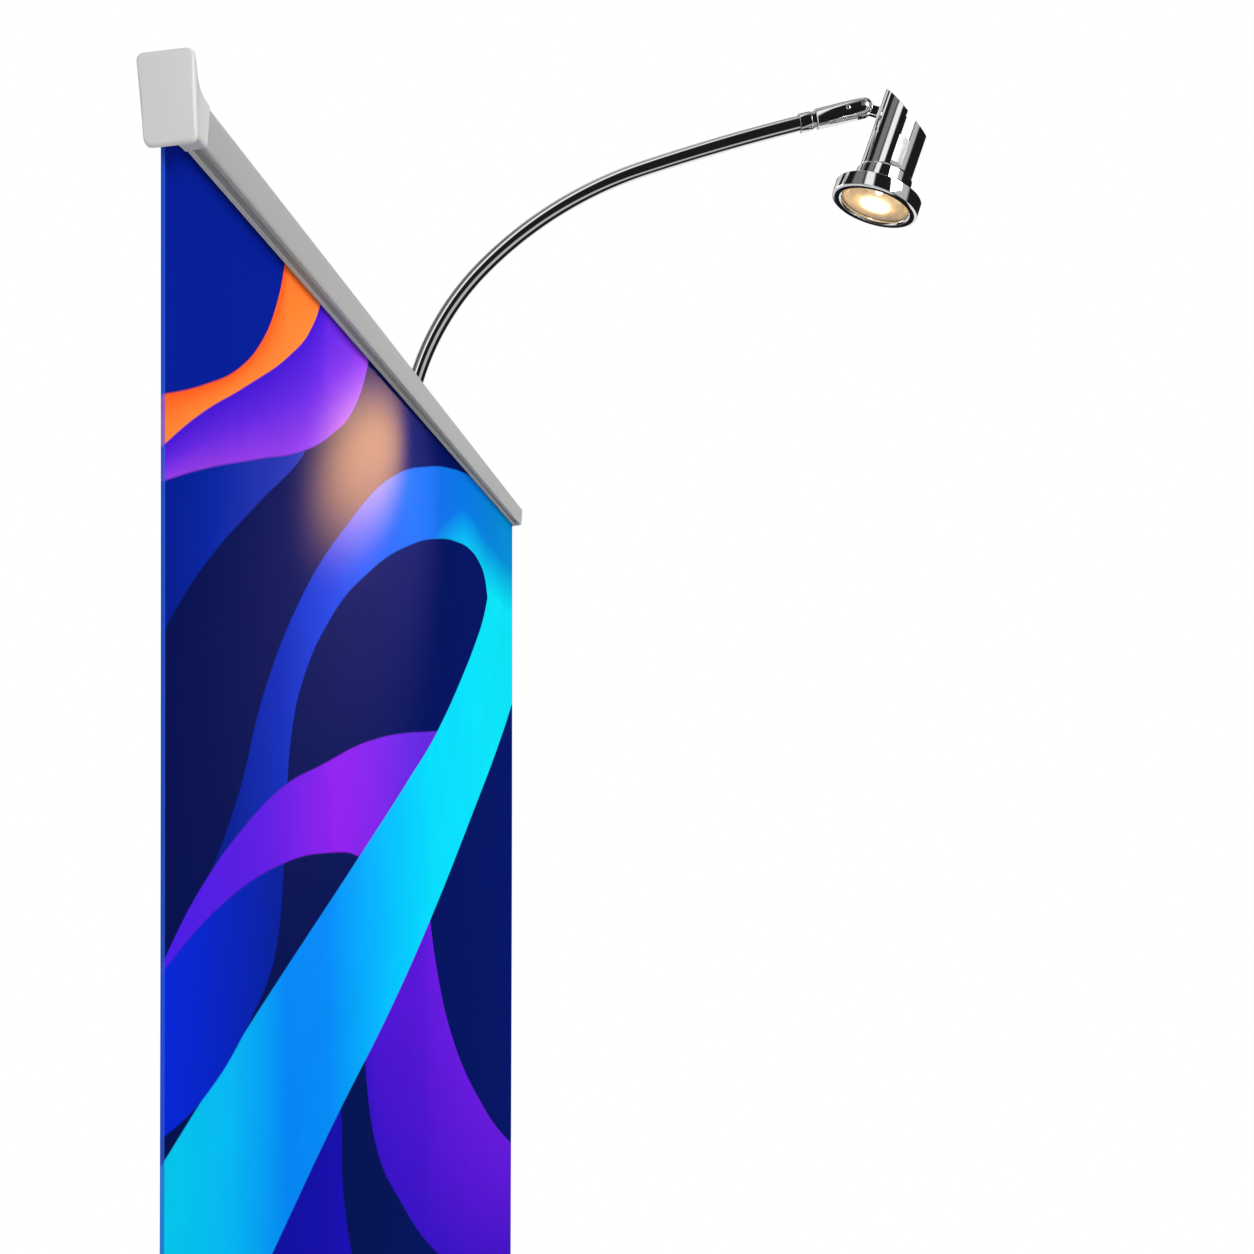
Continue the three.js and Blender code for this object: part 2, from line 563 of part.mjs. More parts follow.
// ---- lamp arm -----------------------------------------------------------------------------------
// A straight stub and arcs that follow on from each other, in the plane x = ARM_X.
class ArmPath extends THREE.Curve {
  constructor() {
    super();
    this.runs = [{ length: ARM_STRAIGHT, radius: Infinity, sweep: 0 }];
    for (const [radius, degrees] of ARM_ARCS) {
      this.runs.push({ length: radius * rad(degrees), radius, sweep: rad(degrees) });
    }
    this.total = this.runs.reduce((sum, run) => sum + run.length, 0);
  }

  // Position and heading (from the horizontal, towards -Y) at a distance along the arm.
  at(distance) {
    let [y, z, heading] = [ARM_ROOT.y, armFoot, Math.PI / 2];
    let left = distance;
    for (const run of this.runs) {
      const step = Math.min(left, run.length);
      if (run.sweep === 0) z += step;
      else {
        const next = heading - step / run.radius;
        y -= run.radius * (Math.sin(heading) - Math.sin(next));
        z += run.radius * (Math.cos(next) - Math.cos(heading));
        heading = next;
      }
      left -= step;
      if (left <= 0) break;
    }
    return { y, z, heading };
  }

  getPoint(t, target = new THREE.Vector3()) {
    const { y, z } = this.at(t * this.total);
    return target.set(ARM_X, y, z);
  }
}
const armPath = new ArmPath();
piece("lamp_arm", bent(armPath, ARM_RADIUS, 10, 28), FINISH.chrome);

// Everything past the arm's end is built along +Z and turned onto the arm's heading.
const armEnd = armPath.at(armPath.total);
const tip = new THREE.Group();
tip.position.set(ARM_X, armEnd.y, armEnd.z);
tip.rotation.set(Math.PI / 2 - armEnd.heading, 0, 0);
stand.add(tip);
const collarStart = CLEARANCE;
piece("arm_collar", turned([[0, collarStart], [COLLAR_RADIUS, collarStart],
  [COLLAR_RADIUS, COLLAR_LENGTH - 3], [COLLAR_RADIUS - 0.6, COLLAR_LENGTH - 2.6],
  [COLLAR_RADIUS - 0.6, COLLAR_LENGTH], [0, COLLAR_LENGTH]], 24), FINISH.chrome, tip);
const barrelStart = COLLAR_LENGTH + CLEARANCE;
const pivotAlong = barrelStart + BARREL_LENGTH;
const dome = [];
for (let k = 0; k <= 6; k += 1) {
  const turn = (Math.PI / 2) * (k / 6);
  dome.push([BARREL_RADIUS * Math.cos(turn), pivotAlong + BARREL_RADIUS * Math.sin(turn)]);
}
const PIN_RADIUS = 1.6;
const barrelSolid = turned([[0, barrelStart], [BARREL_RADIUS - 0.5, barrelStart],
  [BARREL_RADIUS, barrelStart + 0.6], ...dome], 28);
const lugSlot = LUG_THICKNESS / 2 + RUNNING_CLEARANCE;
const LUG_RADIUS = 4;
const pinHole = rod(PIN_RADIUS + CLEARANCE, -BARREL_RADIUS - 1, BARREL_RADIUS + 1, 16)
  .rotateY(Math.PI / 2).translate(0, 0, pivotAlong);
const SCREW_AT = 22;
const screwHole = rod(1.6 + CLEARANCE, BARREL_RADIUS - 2, BARREL_RADIUS + 2, 12).rotateY(-Math.PI / 2)
  .translate(0, 0, barrelStart + SCREW_AT);
piece("lamp_barrel", cut(barrelSolid,
  box(-lugSlot, lugSlot, -BARREL_RADIUS - 1, BARREL_RADIUS + 1, pivotAlong - LUG_RADIUS - 1,
    pivotAlong + BARREL_RADIUS + 1),
  pinHole, screwHole), FINISH.chrome, tip);
piece("pivot_pin", rod(PIN_RADIUS, -BARREL_RADIUS + 0.3, BARREL_RADIUS - 0.3, 16)
  .rotateY(Math.PI / 2).translate(0, 0, pivotAlong), FINISH.steel, tip);
piece("barrel_screw", turned([[0, BARREL_RADIUS - 1.7], [1.6, BARREL_RADIUS - 1.7],
  [1.6, BARREL_RADIUS + 0.3], [1, BARREL_RADIUS + 0.7], [0, BARREL_RADIUS + 0.7]], 12)
  .rotateY(-Math.PI / 2).translate(0, 0, barrelStart + SCREW_AT), FINISH.chrome, tip);

// ---- lamp head ------------------------------------------------------------------------------------
// Built with its axis on +Z, its front edge at z = 0 and the pivot on the +Y side.
const pivotSide = SHELL_RADIUS + LUG_REACH;
const headTurn = rad(HEAD_TILT);
const pivotY = armEnd.y - pivotAlong * Math.cos(armEnd.heading);
const pivotZ = armEnd.z + pivotAlong * Math.sin(armEnd.heading);
const head = new THREE.Group();
head.rotation.set(headTurn, 0, 0);
head.position.set(ARM_X,
  pivotY - pivotSide * Math.cos(headTurn) + PIVOT_HEIGHT * Math.sin(headTurn),
  pivotZ - pivotSide * Math.sin(headTurn) - PIVOT_HEIGHT * Math.cos(headTurn));
stand.add(head);

const innerRing = LENS_RADIUS + CLEARANCE;
piece("lamp_ring", turned([[innerRing + 1.2, 0], [RING_RADIUS - 0.8, 0], [RING_RADIUS, 0.8],
  [RING_RADIUS, RING_HEIGHT - 0.8], [RING_RADIUS - 0.8, RING_HEIGHT],
  [NECK_RADIUS + 0.8, RING_HEIGHT], [NECK_RADIUS + 0.8, RING_HEIGHT - 1.5],
  [innerRing, RING_HEIGHT - 4], [innerRing, 1], [innerRing + 1.2, 0]], 28), FINISH.chrome, head);
piece("lamp_lens", turned([[0, 0.6], [LENS_RADIUS - 1, 0.9], [LENS_RADIUS, 1.4],
  [LENS_RADIUS, 0.9 + LENS_THICKNESS], [0, 0.6 + LENS_THICKNESS]], 28), FINISH.glass, head);

// A dish-shaped reflector: outer and inner skins of the same parabola.
const REFLECTOR_DEPTH = 26;
const DISH_BACK = 6.6;
const dish = [];
const lip = 0.9 + LENS_THICKNESS + CLEARANCE;
for (let k = 0; k <= 5; k += 1) {
  const z = (REFLECTOR_DEPTH * k) / 5;
  dish.push([DISH_BACK + (LENS_RADIUS - 1.8 - DISH_BACK) * (1 - z / REFLECTOR_DEPTH) ** 0.7, lip + z]);
}
const outerDish = dish.map(([r, z]) => [r + 1.1, z]);
piece("lamp_reflector", turned([...outerDish, ...dish.reverse(), outerDish[0]], 24),
  FINISH.reflector, head);

const neckFoot = RING_HEIGHT + CLEARANCE;
piece("lamp_neck", turned([[NECK_RADIUS - 0.1, neckFoot], [NECK_RADIUS + 1.8, neckFoot],
  [NECK_RADIUS + 1.8, neckFoot + 1], [NECK_RADIUS + 0.1, neckFoot + 1.8], [NECK_RADIUS - 0.8, NECK_TOP - 1],
  [NECK_RADIUS - 1.6, NECK_TOP], [NECK_RADIUS - 4.5, NECK_TOP], [NECK_RADIUS - 4.5, NECK_TOP - 1.5],
  [NECK_RADIUS - 1.4, neckFoot + 3], [NECK_RADIUS - 0.1, neckFoot]], 28), FINISH.chrome, head);

const HOLDER_FOOT = lip + REFLECTOR_DEPTH + CLEARANCE;
piece("lamp_holder", turned([[0, HOLDER_FOOT], [11.5, HOLDER_FOOT], [11.5, HOLDER_FOOT + 12],
  [9, HOLDER_FOOT + 14], [9, HOLDER_FOOT + 20], [0, HOLDER_FOOT + 20]], 28), FINISH.ceramic, head);
piece("lamp_capsule", turned([[0, lip + 6], [2, lip + 6.8], [3.2, lip + 9], [3.2, lip + 19], [5, lip + 20],
  [5, lip + REFLECTOR_DEPTH], [0, lip + REFLECTOR_DEPTH]], 16), FINISH.glass, head);

// Two shells from one tube: a slanting cut across the top and a slot between them.
const shellFoot = NECK_TOP + CLEARANCE;
const shellTube = pipe(SHELL_RADIUS, SHELL_RADIUS - SHELL_WALL, shellFoot, SHELL_CUT.high + 10, 40);
const slope = (SHELL_CUT.high - SHELL_CUT.low) / (2 * SHELL_RADIUS);
const slantCut = alongX([[-40, SHELL_CUT.low + (-40 + SHELL_RADIUS) * slope],
  [40, SHELL_CUT.low + (40 + SHELL_RADIUS) * slope], [40, 140], [-40, 140]], -40, 40)
  .applyMatrix4(new THREE.Matrix4().makeShear(0, SHELL_CUT.lean, 0, 0, 0, 0));
const [gapFront, gapBack] = SHELL_GAP;
piece("shell_back", cut(overlap(shellTube, box(-40, 40, gapBack, 40, 0, 140)), slantCut),
  FINISH.chrome, head);
piece("shell_front", cut(overlap(shellTube, box(-40, 40, -40, gapFront, 0, 140)), slantCut),
  FINISH.chrome, head);

const lug = join(
  rod(LUG_RADIUS, -LUG_THICKNESS / 2, LUG_THICKNESS / 2, 20)
    .rotateY(Math.PI / 2).translate(0, pivotSide, PIVOT_HEIGHT),
  box(-LUG_THICKNESS / 2, LUG_THICKNESS / 2, SHELL_RADIUS - 4, pivotSide,
    PIVOT_HEIGHT - 3.2, PIVOT_HEIGHT + 3.2),
);
piece("lamp_lug", cut(lug,
  rod(SHELL_RADIUS + CLEARANCE, PIVOT_HEIGHT - 10, PIVOT_HEIGHT + 10, 40),
  rod(PIN_RADIUS + RUNNING_CLEARANCE, -10, 10, 16).rotateY(Math.PI / 2)
    .translate(0, pivotSide, PIVOT_HEIGHT),
), FINISH.chrome, head);

export default stand;
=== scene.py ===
import math

import bmesh
import bpy
import numpy as np
from bpy.props import FloatProperty, FloatVectorProperty, IntProperty, PointerProperty
from bpy.types import Operator, Panel, PropertyGroup
from mathutils import Matrix, Quaternion, Vector


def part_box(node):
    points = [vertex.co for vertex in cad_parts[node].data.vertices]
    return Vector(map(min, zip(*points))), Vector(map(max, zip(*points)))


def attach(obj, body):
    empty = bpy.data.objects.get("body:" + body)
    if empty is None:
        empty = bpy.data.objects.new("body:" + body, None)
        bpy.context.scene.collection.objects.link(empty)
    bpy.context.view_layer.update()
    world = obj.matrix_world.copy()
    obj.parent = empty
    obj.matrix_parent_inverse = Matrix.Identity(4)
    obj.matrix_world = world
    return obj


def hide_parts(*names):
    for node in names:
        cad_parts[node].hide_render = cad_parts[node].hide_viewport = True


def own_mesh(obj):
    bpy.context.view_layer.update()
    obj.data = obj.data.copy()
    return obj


bl_info = {
    "name": "Roll-up banner stand",
    "version": (1, 0, 0),
    "blender": (4, 5, 0),
    "location": "3D View > Sidebar > Banner stand",
    "description": "Builds a roll-up banner stand with a clip-on spot lamp, piece by piece",
    "category": "Object",
}

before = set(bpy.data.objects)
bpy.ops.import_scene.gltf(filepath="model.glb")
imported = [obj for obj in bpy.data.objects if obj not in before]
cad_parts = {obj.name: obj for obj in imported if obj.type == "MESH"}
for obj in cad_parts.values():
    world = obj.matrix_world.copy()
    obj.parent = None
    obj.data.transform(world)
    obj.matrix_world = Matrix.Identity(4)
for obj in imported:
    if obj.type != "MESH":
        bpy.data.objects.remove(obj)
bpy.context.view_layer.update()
MM = 0.001


# ---- colours, nodes and materials -------------------------------------------------------

def linear(code, alpha=1.0):
    """sRGB hex to linear: under 0.04045 a channel is divided by 12.92, and above it is
    ((c + 0.055) / 1.055) to the power 2.4."""
    channels = [int(code[i:i + 2], 16) / 255 for i in (0, 2, 4)]
    return tuple(c / 12.92 if c <= 0.04045 else ((c + 0.055) / 1.055) ** 2.4
                 for c in channels) + (alpha,)


def add_node(tree, kind, settings=None, inputs=None):
    """Add one node. settings are its own properties; inputs are sockets to link or values
    to set, by socket name or index."""
    made = tree.nodes.new(kind)
    for key, value in (settings or {}).items():
        setattr(made, key, value)
    for key, value in (inputs or {}).items():
        if isinstance(value, bpy.types.NodeSocket):
            tree.links.new(value, made.inputs[key])
        else:
            made.inputs[key].default_value = value
    return made


def maths(tree, operation, first, second=0.0, third=0.0, clamp=False):
    """One Math node's result."""
    return add_node(tree, "ShaderNodeMath", {"operation": operation, "use_clamp": clamp},
                    {0: first, 1: second, 2: third}).outputs[0]


def mixed(tree, factor, first, second, blend="MIX"):
    """One colour Mix node's result."""
    return add_node(tree, "ShaderNodeMix", {"data_type": "RGBA", "blend_type": blend},
                    {0: factor, 6: first, 7: second}).outputs[2]


def ramp(tree, factor, stops):
    """A colour ramp through (place, hex) stops."""
    made = add_node(tree, "ShaderNodeValToRGB", None, {0: factor})
    elements = made.color_ramp.elements
    while len(elements) < len(stops):
        elements.new(0.5)
    for element, (place, code) in zip(elements, stops):
        element.position = place
        element.color = linear(code)
    return made.outputs[0]


def noise(tree, coordinates, size, detail=2.0, roughness=0.5, stretch=(1, 1, 1)):
    """Noise whose lumps are about size metres across, drawn out along an axis by stretch."""
    moved = add_node(tree, "ShaderNodeMapping", None,
                     {"Vector": coordinates, "Scale": [1 / (size * s) for s in stretch]})
    return add_node(tree, "ShaderNodeTexNoise", None, {
        "Vector": moved.outputs[0], "Scale": 1.0, "Detail": detail,
        "Roughness": roughness}).outputs[0]


def spread(tree, value, low, high):
    """A 0 to 1 value mapped to low to high."""
    return add_node(tree, "ShaderNodeMapRange", None,
                    {"Value": value, "To Min": low, "To Max": high}).outputs[0]


def curve_through(tree, value, points):
    """A Float Curve through (place, height) points, level before the first of them and
    after the last."""
    made = add_node(tree, "ShaderNodeFloatCurve", None, {"Factor": 1.0, "Value": value})
    line = made.mapping.curves[0]
    points = list(points)
    if points[-1][0] < 1:
        points.append((1.0, points[-1][1]))
    if points[0][0] > 0:
        points.insert(0, (0.0, points[0][1]))
    while len(line.points) < len(points):
        line.points.new(0.5, 0.5)
    for point, place in zip(line.points, points):
        point.location = place
        point.handle_type = "AUTO"
    made.mapping.update()
    return made.outputs[0]


def face_tag(tree, name):
    """A value that the mesh stores under a name."""
    return add_node(tree, "ShaderNodeAttribute", {"attribute_name": name}).outputs["Fac"]


def new_material(name):
    """An empty material with a Principled surface: (material, tree, shader)."""
    made = bpy.data.materials.new(name)
    made.use_nodes = True
    tree = made.node_tree
    tree.nodes.clear()
    shader = add_node(tree, "ShaderNodeBsdfPrincipled")
    add_node(tree, "ShaderNodeOutputMaterial", None, {"Surface": shader.outputs[0]})
    return made, tree, shader


BROAD_LUMPS = 0.045  # metres across the slow wander of a finish's colour and roughness


def finish(name, colour, metallic, rough, grain, bump, stretch=(1, 1, 1), shade=0.06,
           **sockets):
    """A moulded, drawn or plated finish: colour and roughness wander a little with a broad
    noise, and a fine noise of the grain's size gives the bump. rough is (low, high)."""
    made, tree, shader = new_material(name)
    place = add_node(tree, "ShaderNodeTexCoord").outputs["Object"]
    broad = noise(tree, place, BROAD_LUMPS, 3.0, 0.55, stretch)
    fine = noise(tree, place, grain, 2.0, 0.6, stretch)
    darker = tuple(c * (1 - shade) for c in colour[:3]) + (1.0,)
    lighter = tuple(min(c * (1 + shade), 1.0) for c in colour[:3]) + (1.0,)
    tree.links.new(mixed(tree, broad, darker, lighter), shader.inputs["Base Color"])
    both = maths(tree, "MULTIPLY_ADD", fine, 0.5, maths(tree, "MULTIPLY", broad, 0.5))
    tree.links.new(spread(tree, both, *rough), shader.inputs["Roughness"])
    shader.inputs["Metallic"].default_value = metallic
    raised = add_node(tree, "ShaderNodeBump", None,
                      {"Height": fine, "Strength": 0.5, "Distance": bump})
    tree.links.new(raised.outputs[0], shader.inputs["Normal"])
    for key, value in sockets.items():
        shader.inputs[key.replace("_", " ")].default_value = value
    return made


MATERIALS = {}


def make_finishes(colours):
    """Every finish but the film, the lens and the lit reflector."""
    along = (40, 1, 1)
    upright = (1, 1, 40)
    MATERIALS.update({
        # Extruded and satin anodised: fine die lines run along the section.
        "anodised_x": finish("Satin anodised aluminium, extruded", tuple(colours.aluminium),
                             0.55, (0.34, 0.5), 0.0009, 0.00004, along, 0.05),
        "anodised_z": finish("Satin anodised aluminium, drawn tube", tuple(colours.aluminium),
                             0.6, (0.3, 0.44), 0.0009, 0.00004, upright, 0.05),
        # Moulded ABS in a silver grey, lightly spark-eroded: a soft even sheen.
        "grey_plastic": finish("Moulded ABS, silver grey", tuple(colours.grey_plastic),
                               0.0, (0.36, 0.5), 0.0006, 0.00005, shade=0.03),
        # Moulded nylon, near black, with a fine leather-like mould texture.
        "dark_plastic": finish("Moulded nylon, black", tuple(colours.dark_plastic),
                               0.0, (0.42, 0.62), 0.0008, 0.00012, shade=0.15),
        # Moulded rubber: matt and slightly dusty.
        "rubber": finish("Moulded rubber", tuple(colours.rubber),
                         0.0, (0.7, 0.9), 0.0012, 0.0002, shade=0.2),
        # Bright nickel-chrome plate on turned and drawn parts: a clean mirror.
        "chrome": finish("Chrome plate, polished", tuple(colours.chrome),
                         1.0, (0.03, 0.07), 0.004, 0.000004, shade=0.02),
        # Zinc-plated steel: duller than chrome, faintly mottled.
        "steel": finish("Zinc-plated steel", linear("b3b5b6"),
                        1.0, (0.24, 0.4), 0.0012, 0.00003, shade=0.08),
        # Oil-tempered spring wire: dark, with a blued tint.
        "spring": finish("Oil-tempered spring steel", linear("54585d"),
                         1.0, (0.28, 0.42), 0.0008, 0.00003, shade=0.1),
        # Steatite lamp holder: fired, unglazed, slightly rough. Its faint white emission is
        # painted light, standing in for the lamp's glow on the holder.
        "ceramic": finish("Steatite ceramic, fired, painted glow", linear("fbfaf6"),
                          0.0, (0.45, 0.6), 0.0005, 0.00001, shade=0.02,
                          Emission_Strength=0.3),
    })


# ---- shapes: rings of points carried along a path -----------------------------------------

def rounded(corners, steps=8):
    """A closed outline from (a, b, radius) corners: each corner is an arc whose centre is
    radius / sin(half the corner) along its bisector."""
    points = []
    count = len(corners)
    for i, (a, b, radius) in enumerate(corners):
        here = np.array([a, b], float)
        if radius <= 0:
            points.append(here[None])
            continue
        back = np.array(corners[i - 1][:2], float) - here
        ahead = np.array(corners[(i + 1) % count][:2], float) - here
        back /= np.linalg.norm(back)
        ahead /= np.linalg.norm(ahead)
        half = math.acos(np.clip(back @ ahead, -1, 1)) / 2
        centre = here + (back + ahead) / np.linalg.norm(back + ahead) * radius / math.sin(half)
        start = here + back * radius / math.tan(half) - centre
        end = here + ahead * radius / math.tan(half) - centre
        first = math.atan2(start[1], start[0])
        sweep = math.atan2(end[1], end[0]) - first
        sweep = (sweep + math.pi) % (2 * math.pi) - math.pi
        turn = first + sweep * np.linspace(0, 1, steps + 1)
        points.append(centre + radius * np.stack([np.cos(turn), np.sin(turn)], 1))
    return np.concatenate(points)


def grown(outline, distance):
    """A counter-clockwise outline moved outwards: each point goes along the sum of its two
    edges' outward normals, scaled so that the edges move by the distance."""
    before = outline - np.roll(outline, 1, 0)
    after = np.roll(outline, -1, 0) - outline

    def outward(edge):
        length = np.maximum(np.linalg.norm(edge, axis=1, keepdims=True), 1e-9)
        return np.stack([edge[:, 1], -edge[:, 0]], 1) / length

    total = outward(before) + outward(after)
    square = (total ** 2).sum(1, keepdims=True)
    return outline + total * 2 / np.maximum(square, 1) * distance


def circle(radius, count=64, phase=0.0):
    """Points at radius (cos t, sin t)."""
    turn = np.linspace(0, 2 * math.pi, count, endpoint=False) + phase
    return np.stack([np.cos(turn), np.sin(turn)], 1) * np.asarray(radius).reshape(-1, 1)


def along_x(outline, stations):
    """Rings in planes of constant x from an outline of (y, z)."""
    rings = np.empty((len(stations), len(outline), 3))
    rings[:, :, 1:] = outline
    rings[:, :, 0] = np.asarray(stations)[:, None]
    return rings


def turned(profile, segments=64, lobes=None):
    """Rings about Z: each (radius, height) point sweeps r (cos t, sin t), with r cut back by
    lobes(t, height) where that is given."""
    profile = np.asarray(profile, float)
    turn = np.linspace(0, 2 * math.pi, segments, endpoint=False)
    radius = np.repeat(profile[:, :1], segments, 1)
    if lobes is not None:
        radius = radius - lobes(turn[None], profile[:, 1:2], radius)
    return np.stack([radius * np.cos(turn), radius * np.sin(turn),
                     np.repeat(profile[:, 1:], segments, 1)], 2)


def lying_x(rings):
    """Rings about Z turned so that their axis lies along +X."""
    return rings[:, :, [2, 0, 1]]


def lying_y(rings):
    """Rings about Z with their axis laid along +Y."""
    return rings[:, :, [0, 2, 1]]


def weld(mesh, collapse):
    """Merges doubled points, collapses edges of no length where asked, and turns every face
    outwards."""
    work = bmesh.new()
    work.from_mesh(mesh)
    bmesh.ops.remove_doubles(work, verts=work.verts, dist=1e-6)
    if collapse:
        bmesh.ops.dissolve_degenerate(work, edges=work.edges, dist=1e-7)
    bmesh.ops.recalc_face_normals(work, faces=work.faces)
    work.to_mesh(mesh)
    work.free()


SHARP = 32  # degrees between two faces above which their shared edge stays sharp


def solid(name, parts, material, angle=SHARP):
    """A mesh object from parts, each (rings, closed): quads join neighbouring rings, and an
    open part gets a face over its first and last ring. All in millimetres."""
    vertices, faces, start = [], [], 0
    for rings, closed in parts:
        rows, columns = rings.shape[:2]
        index = start + np.arange(rows * columns).reshape(rows, columns)
        across = np.roll(index, -1, 1)
        ahead = np.roll(index, -1, 0)
        last = rows if closed else rows - 1
        quads = np.stack([index, across, np.roll(ahead, -1, 1), ahead], 2)[:last]
        faces += quads.reshape(-1, 4).tolist()
        if not closed:
            faces += [index[0][::-1].tolist(), index[-1].tolist()]
        vertices.append(rings.reshape(-1, 3))
        start += rows * columns
    mesh = bpy.data.meshes.new(name)
    mesh.from_pydata((np.concatenate(vertices) * MM).tolist(), [], faces)
    weld(mesh, True)
    return show(name, mesh, material, angle)


def show(name, mesh, material, angle=SHARP):
    """Links a mesh as an object with smooth faces and sharp edges above the angle."""
    mesh.materials.clear()
    mesh.materials.append(MATERIALS[material])
    mesh.shade_smooth()
    mesh.set_sharp_from_angle(angle=math.radians(angle))
    made = bpy.data.objects.new(name, mesh)
    bpy.context.scene.collection.objects.link(made)
    return made


def moved(rings, matrix):
    """Rings taken through a 4 by 4 matrix whose places are in millimetres."""
    matrix = np.array(matrix)
    return rings @ matrix[:3, :3].T + matrix[:3, 3]


def shift(rings, x=0.0, y=0.0, z=0.0):
    """Rings moved by x, y, z millimetres."""
    return rings + np.array([x, y, z])


def plate(outline, holes, bottom, top, bevel):
    """Rings and lids of a flat plate with holes, as a filled curve with a bevel, in a mesh."""
    curve = bpy.data.curves.new("plate", "CURVE")
    curve.dimensions = "2D"
    curve.fill_mode = "BOTH"
    curve.extrude = (top - bottom) / 2 - bevel
    curve.bevel_depth = bevel
    curve.bevel_resolution = 3
    curve.offset = -bevel
    for loop in [outline] + holes:
        spline = curve.splines.new("POLY")
        spline.points.add(len(loop) - 1)
        flat = np.zeros((len(loop), 4))
        flat[:, :2] = loop
        flat[:, 3] = 1
        spline.points.foreach_set("co", flat.ravel())
        spline.use_cyclic_u = True
    holder = bpy.data.objects.new("plate", curve)
    mesh = bpy.data.meshes.new_from_object(holder)
    bpy.data.objects.remove(holder)
    bpy.data.curves.remove(curve)
    mesh.transform(Matrix.Translation((0, 0, (top + bottom) / 2)))
    mesh.transform(Matrix.Scale(MM, 4))
    weld(mesh, False)
    return mesh


def carve(made, cutters):
    """Takes cutter objects out of a piece, with the result in its mesh."""
    for cutter in cutters:
        cutting = made.modifiers.new("cut", "BOOLEAN")
        cutting.operation = "DIFFERENCE"
        cutting.solver = "EXACT"
        cutting.object = cutter
    graph = bpy.context.evaluated_depsgraph_get()
    result = bpy.data.meshes.new_from_object(made.evaluated_get(graph))
    made.modifiers.clear()
    made.data = result
    result.shade_smooth()
    result.set_sharp_from_angle(angle=math.radians(SHARP))
    for cutter in cutters:
        bpy.data.objects.remove(cutter)
    return made


def settle(made, body, slot, *nodes):
    """The piece rides on its body and stands for its CAD nodes. The slot is not used."""
    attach(made, body)
    if nodes:
        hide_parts(*nodes)
    return made


def eased(stations, steps):
    """Smooth steps through a few (distance, value, value) stations: cubic pieces whose
    slopes are the mean of their neighbours'."""
    table = np.asarray(stations, float)
    slopes = np.gradient(table[:, 1:], table[:, 0], axis=0)
    places = np.linspace(table[0, 0], table[-1, 0], steps)
    left = np.clip(np.searchsorted(table[:, 0], places, "right") - 1, 0, len(table) - 2)
    width = table[left + 1, 0] - table[left, 0]
    t = ((places - table[left, 0]) / width)[:, None]
    width = width[:, None]
    a, b = table[left, 1:], table[left + 1, 1:]
    m, n = slopes[left] * width, slopes[left + 1] * width
    curve = (a * (2 * t ** 3 - 3 * t ** 2 + 1) + m * (t ** 3 - 2 * t ** 2 + t)
             + b * (3 * t ** 2 - 2 * t ** 3) + n * (t ** 3 - t ** 2))
    return places, curve


def reach(outline, centre, turns):
    """Distance from a centre to a closed outline in each direction, by crossing every edge."""
    way = np.stack([np.cos(turns), np.sin(turns)], 1)[:, None]
    start = (outline - centre)[None]
    edge = (np.roll(outline, -1, 0) - outline)[None]
    cross = way[..., 0] * edge[..., 1] - way[..., 1] * edge[..., 0]
    cross = np.where(np.abs(cross) < 1e-9, 1e-9, cross)
    out = (start[..., 0] * edge[..., 1] - start[..., 1] * edge[..., 0]) / cross
    share = (start[..., 0] * way[..., 1] - start[..., 1] * way[..., 0]) / cross
    hit = (out > 0) & (share >= -1e-6) & (share <= 1 + 1e-6)
    return np.where(hit, out, 0).max(1)


# ---- sizes that several pieces share, in millimetres --------------------------------------

def box_of(node):
    """The low and high corners of a CAD node's box."""
    return [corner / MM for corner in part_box(node)]


LOW, HIGH = box_of("graphic_panel")
HALF_WIDTH = HIGH.x
SHEET_FOOT, SHEET_TOP = LOW.z, HIGH.z
HOUSING = box_of("base_housing")
END = HOUSING[1].x
RAIL_Z = 2060.0  # the rail's front bead, above the floor
RAIL_BACK = -8.9  # the bead's place along Y
POLE = [box_of(name) for name in ("pole_lower", "pole_middle", "pole_upper")]
POLE_Y = 24.0
ROLLER_Y, ROLLER_Z = -20.6, 49.4
ARM_X = 25.0
FIT = 0.3  # clearance between pieces that touch


def rail_skin(steps=8):
    """The rail's closed outline of (y, z) from its front bead, without slot or grooves."""
    return rounded([(0.2, -0.8, 0.9), (14, -3, 1.2), (14, 13, 1.5), (6, 17, 9),
                    (-0.9, 14.4, 1.6)], steps)


def on_rail(rings):
    """Rings drawn about the rail's front bead, taken up to the rail."""
    return shift(rings, 0, RAIL_BACK, RAIL_Z)


# ---- settings -------------------------------------------------------------------------------

def length(name, description, default, **more):
    """A length property given in millimetres and held in metres."""
    return FloatProperty(name=name, description=description, default=default * MM,
                         unit="LENGTH", precision=4, **more)


def colour(name, description, code):
    """A colour property from a hex code."""
    return FloatVectorProperty(name=name, description=description, size=4, subtype="COLOR",
                               min=0.0, max=1.0, default=linear(code))


class StandFinishes(PropertyGroup):
    """Colours of the stand's finishes."""
    aluminium: colour("Aluminium", "Satin anodised rail, cassette, feet and pole", "c9c9c8")
    grey_plastic: colour("Grey plastic", "End caps of the top rail", "c6c6c5")
    dark_plastic: colour("Dark plastic", "Cassette caps, twist locks, bracket and knob", "232426")
    rubber: colour("Rubber", "Pads under the feet and the transport pin", "19191a")
    chrome: colour("Chrome", "Lamp arm and lamp head", "e9eaec")


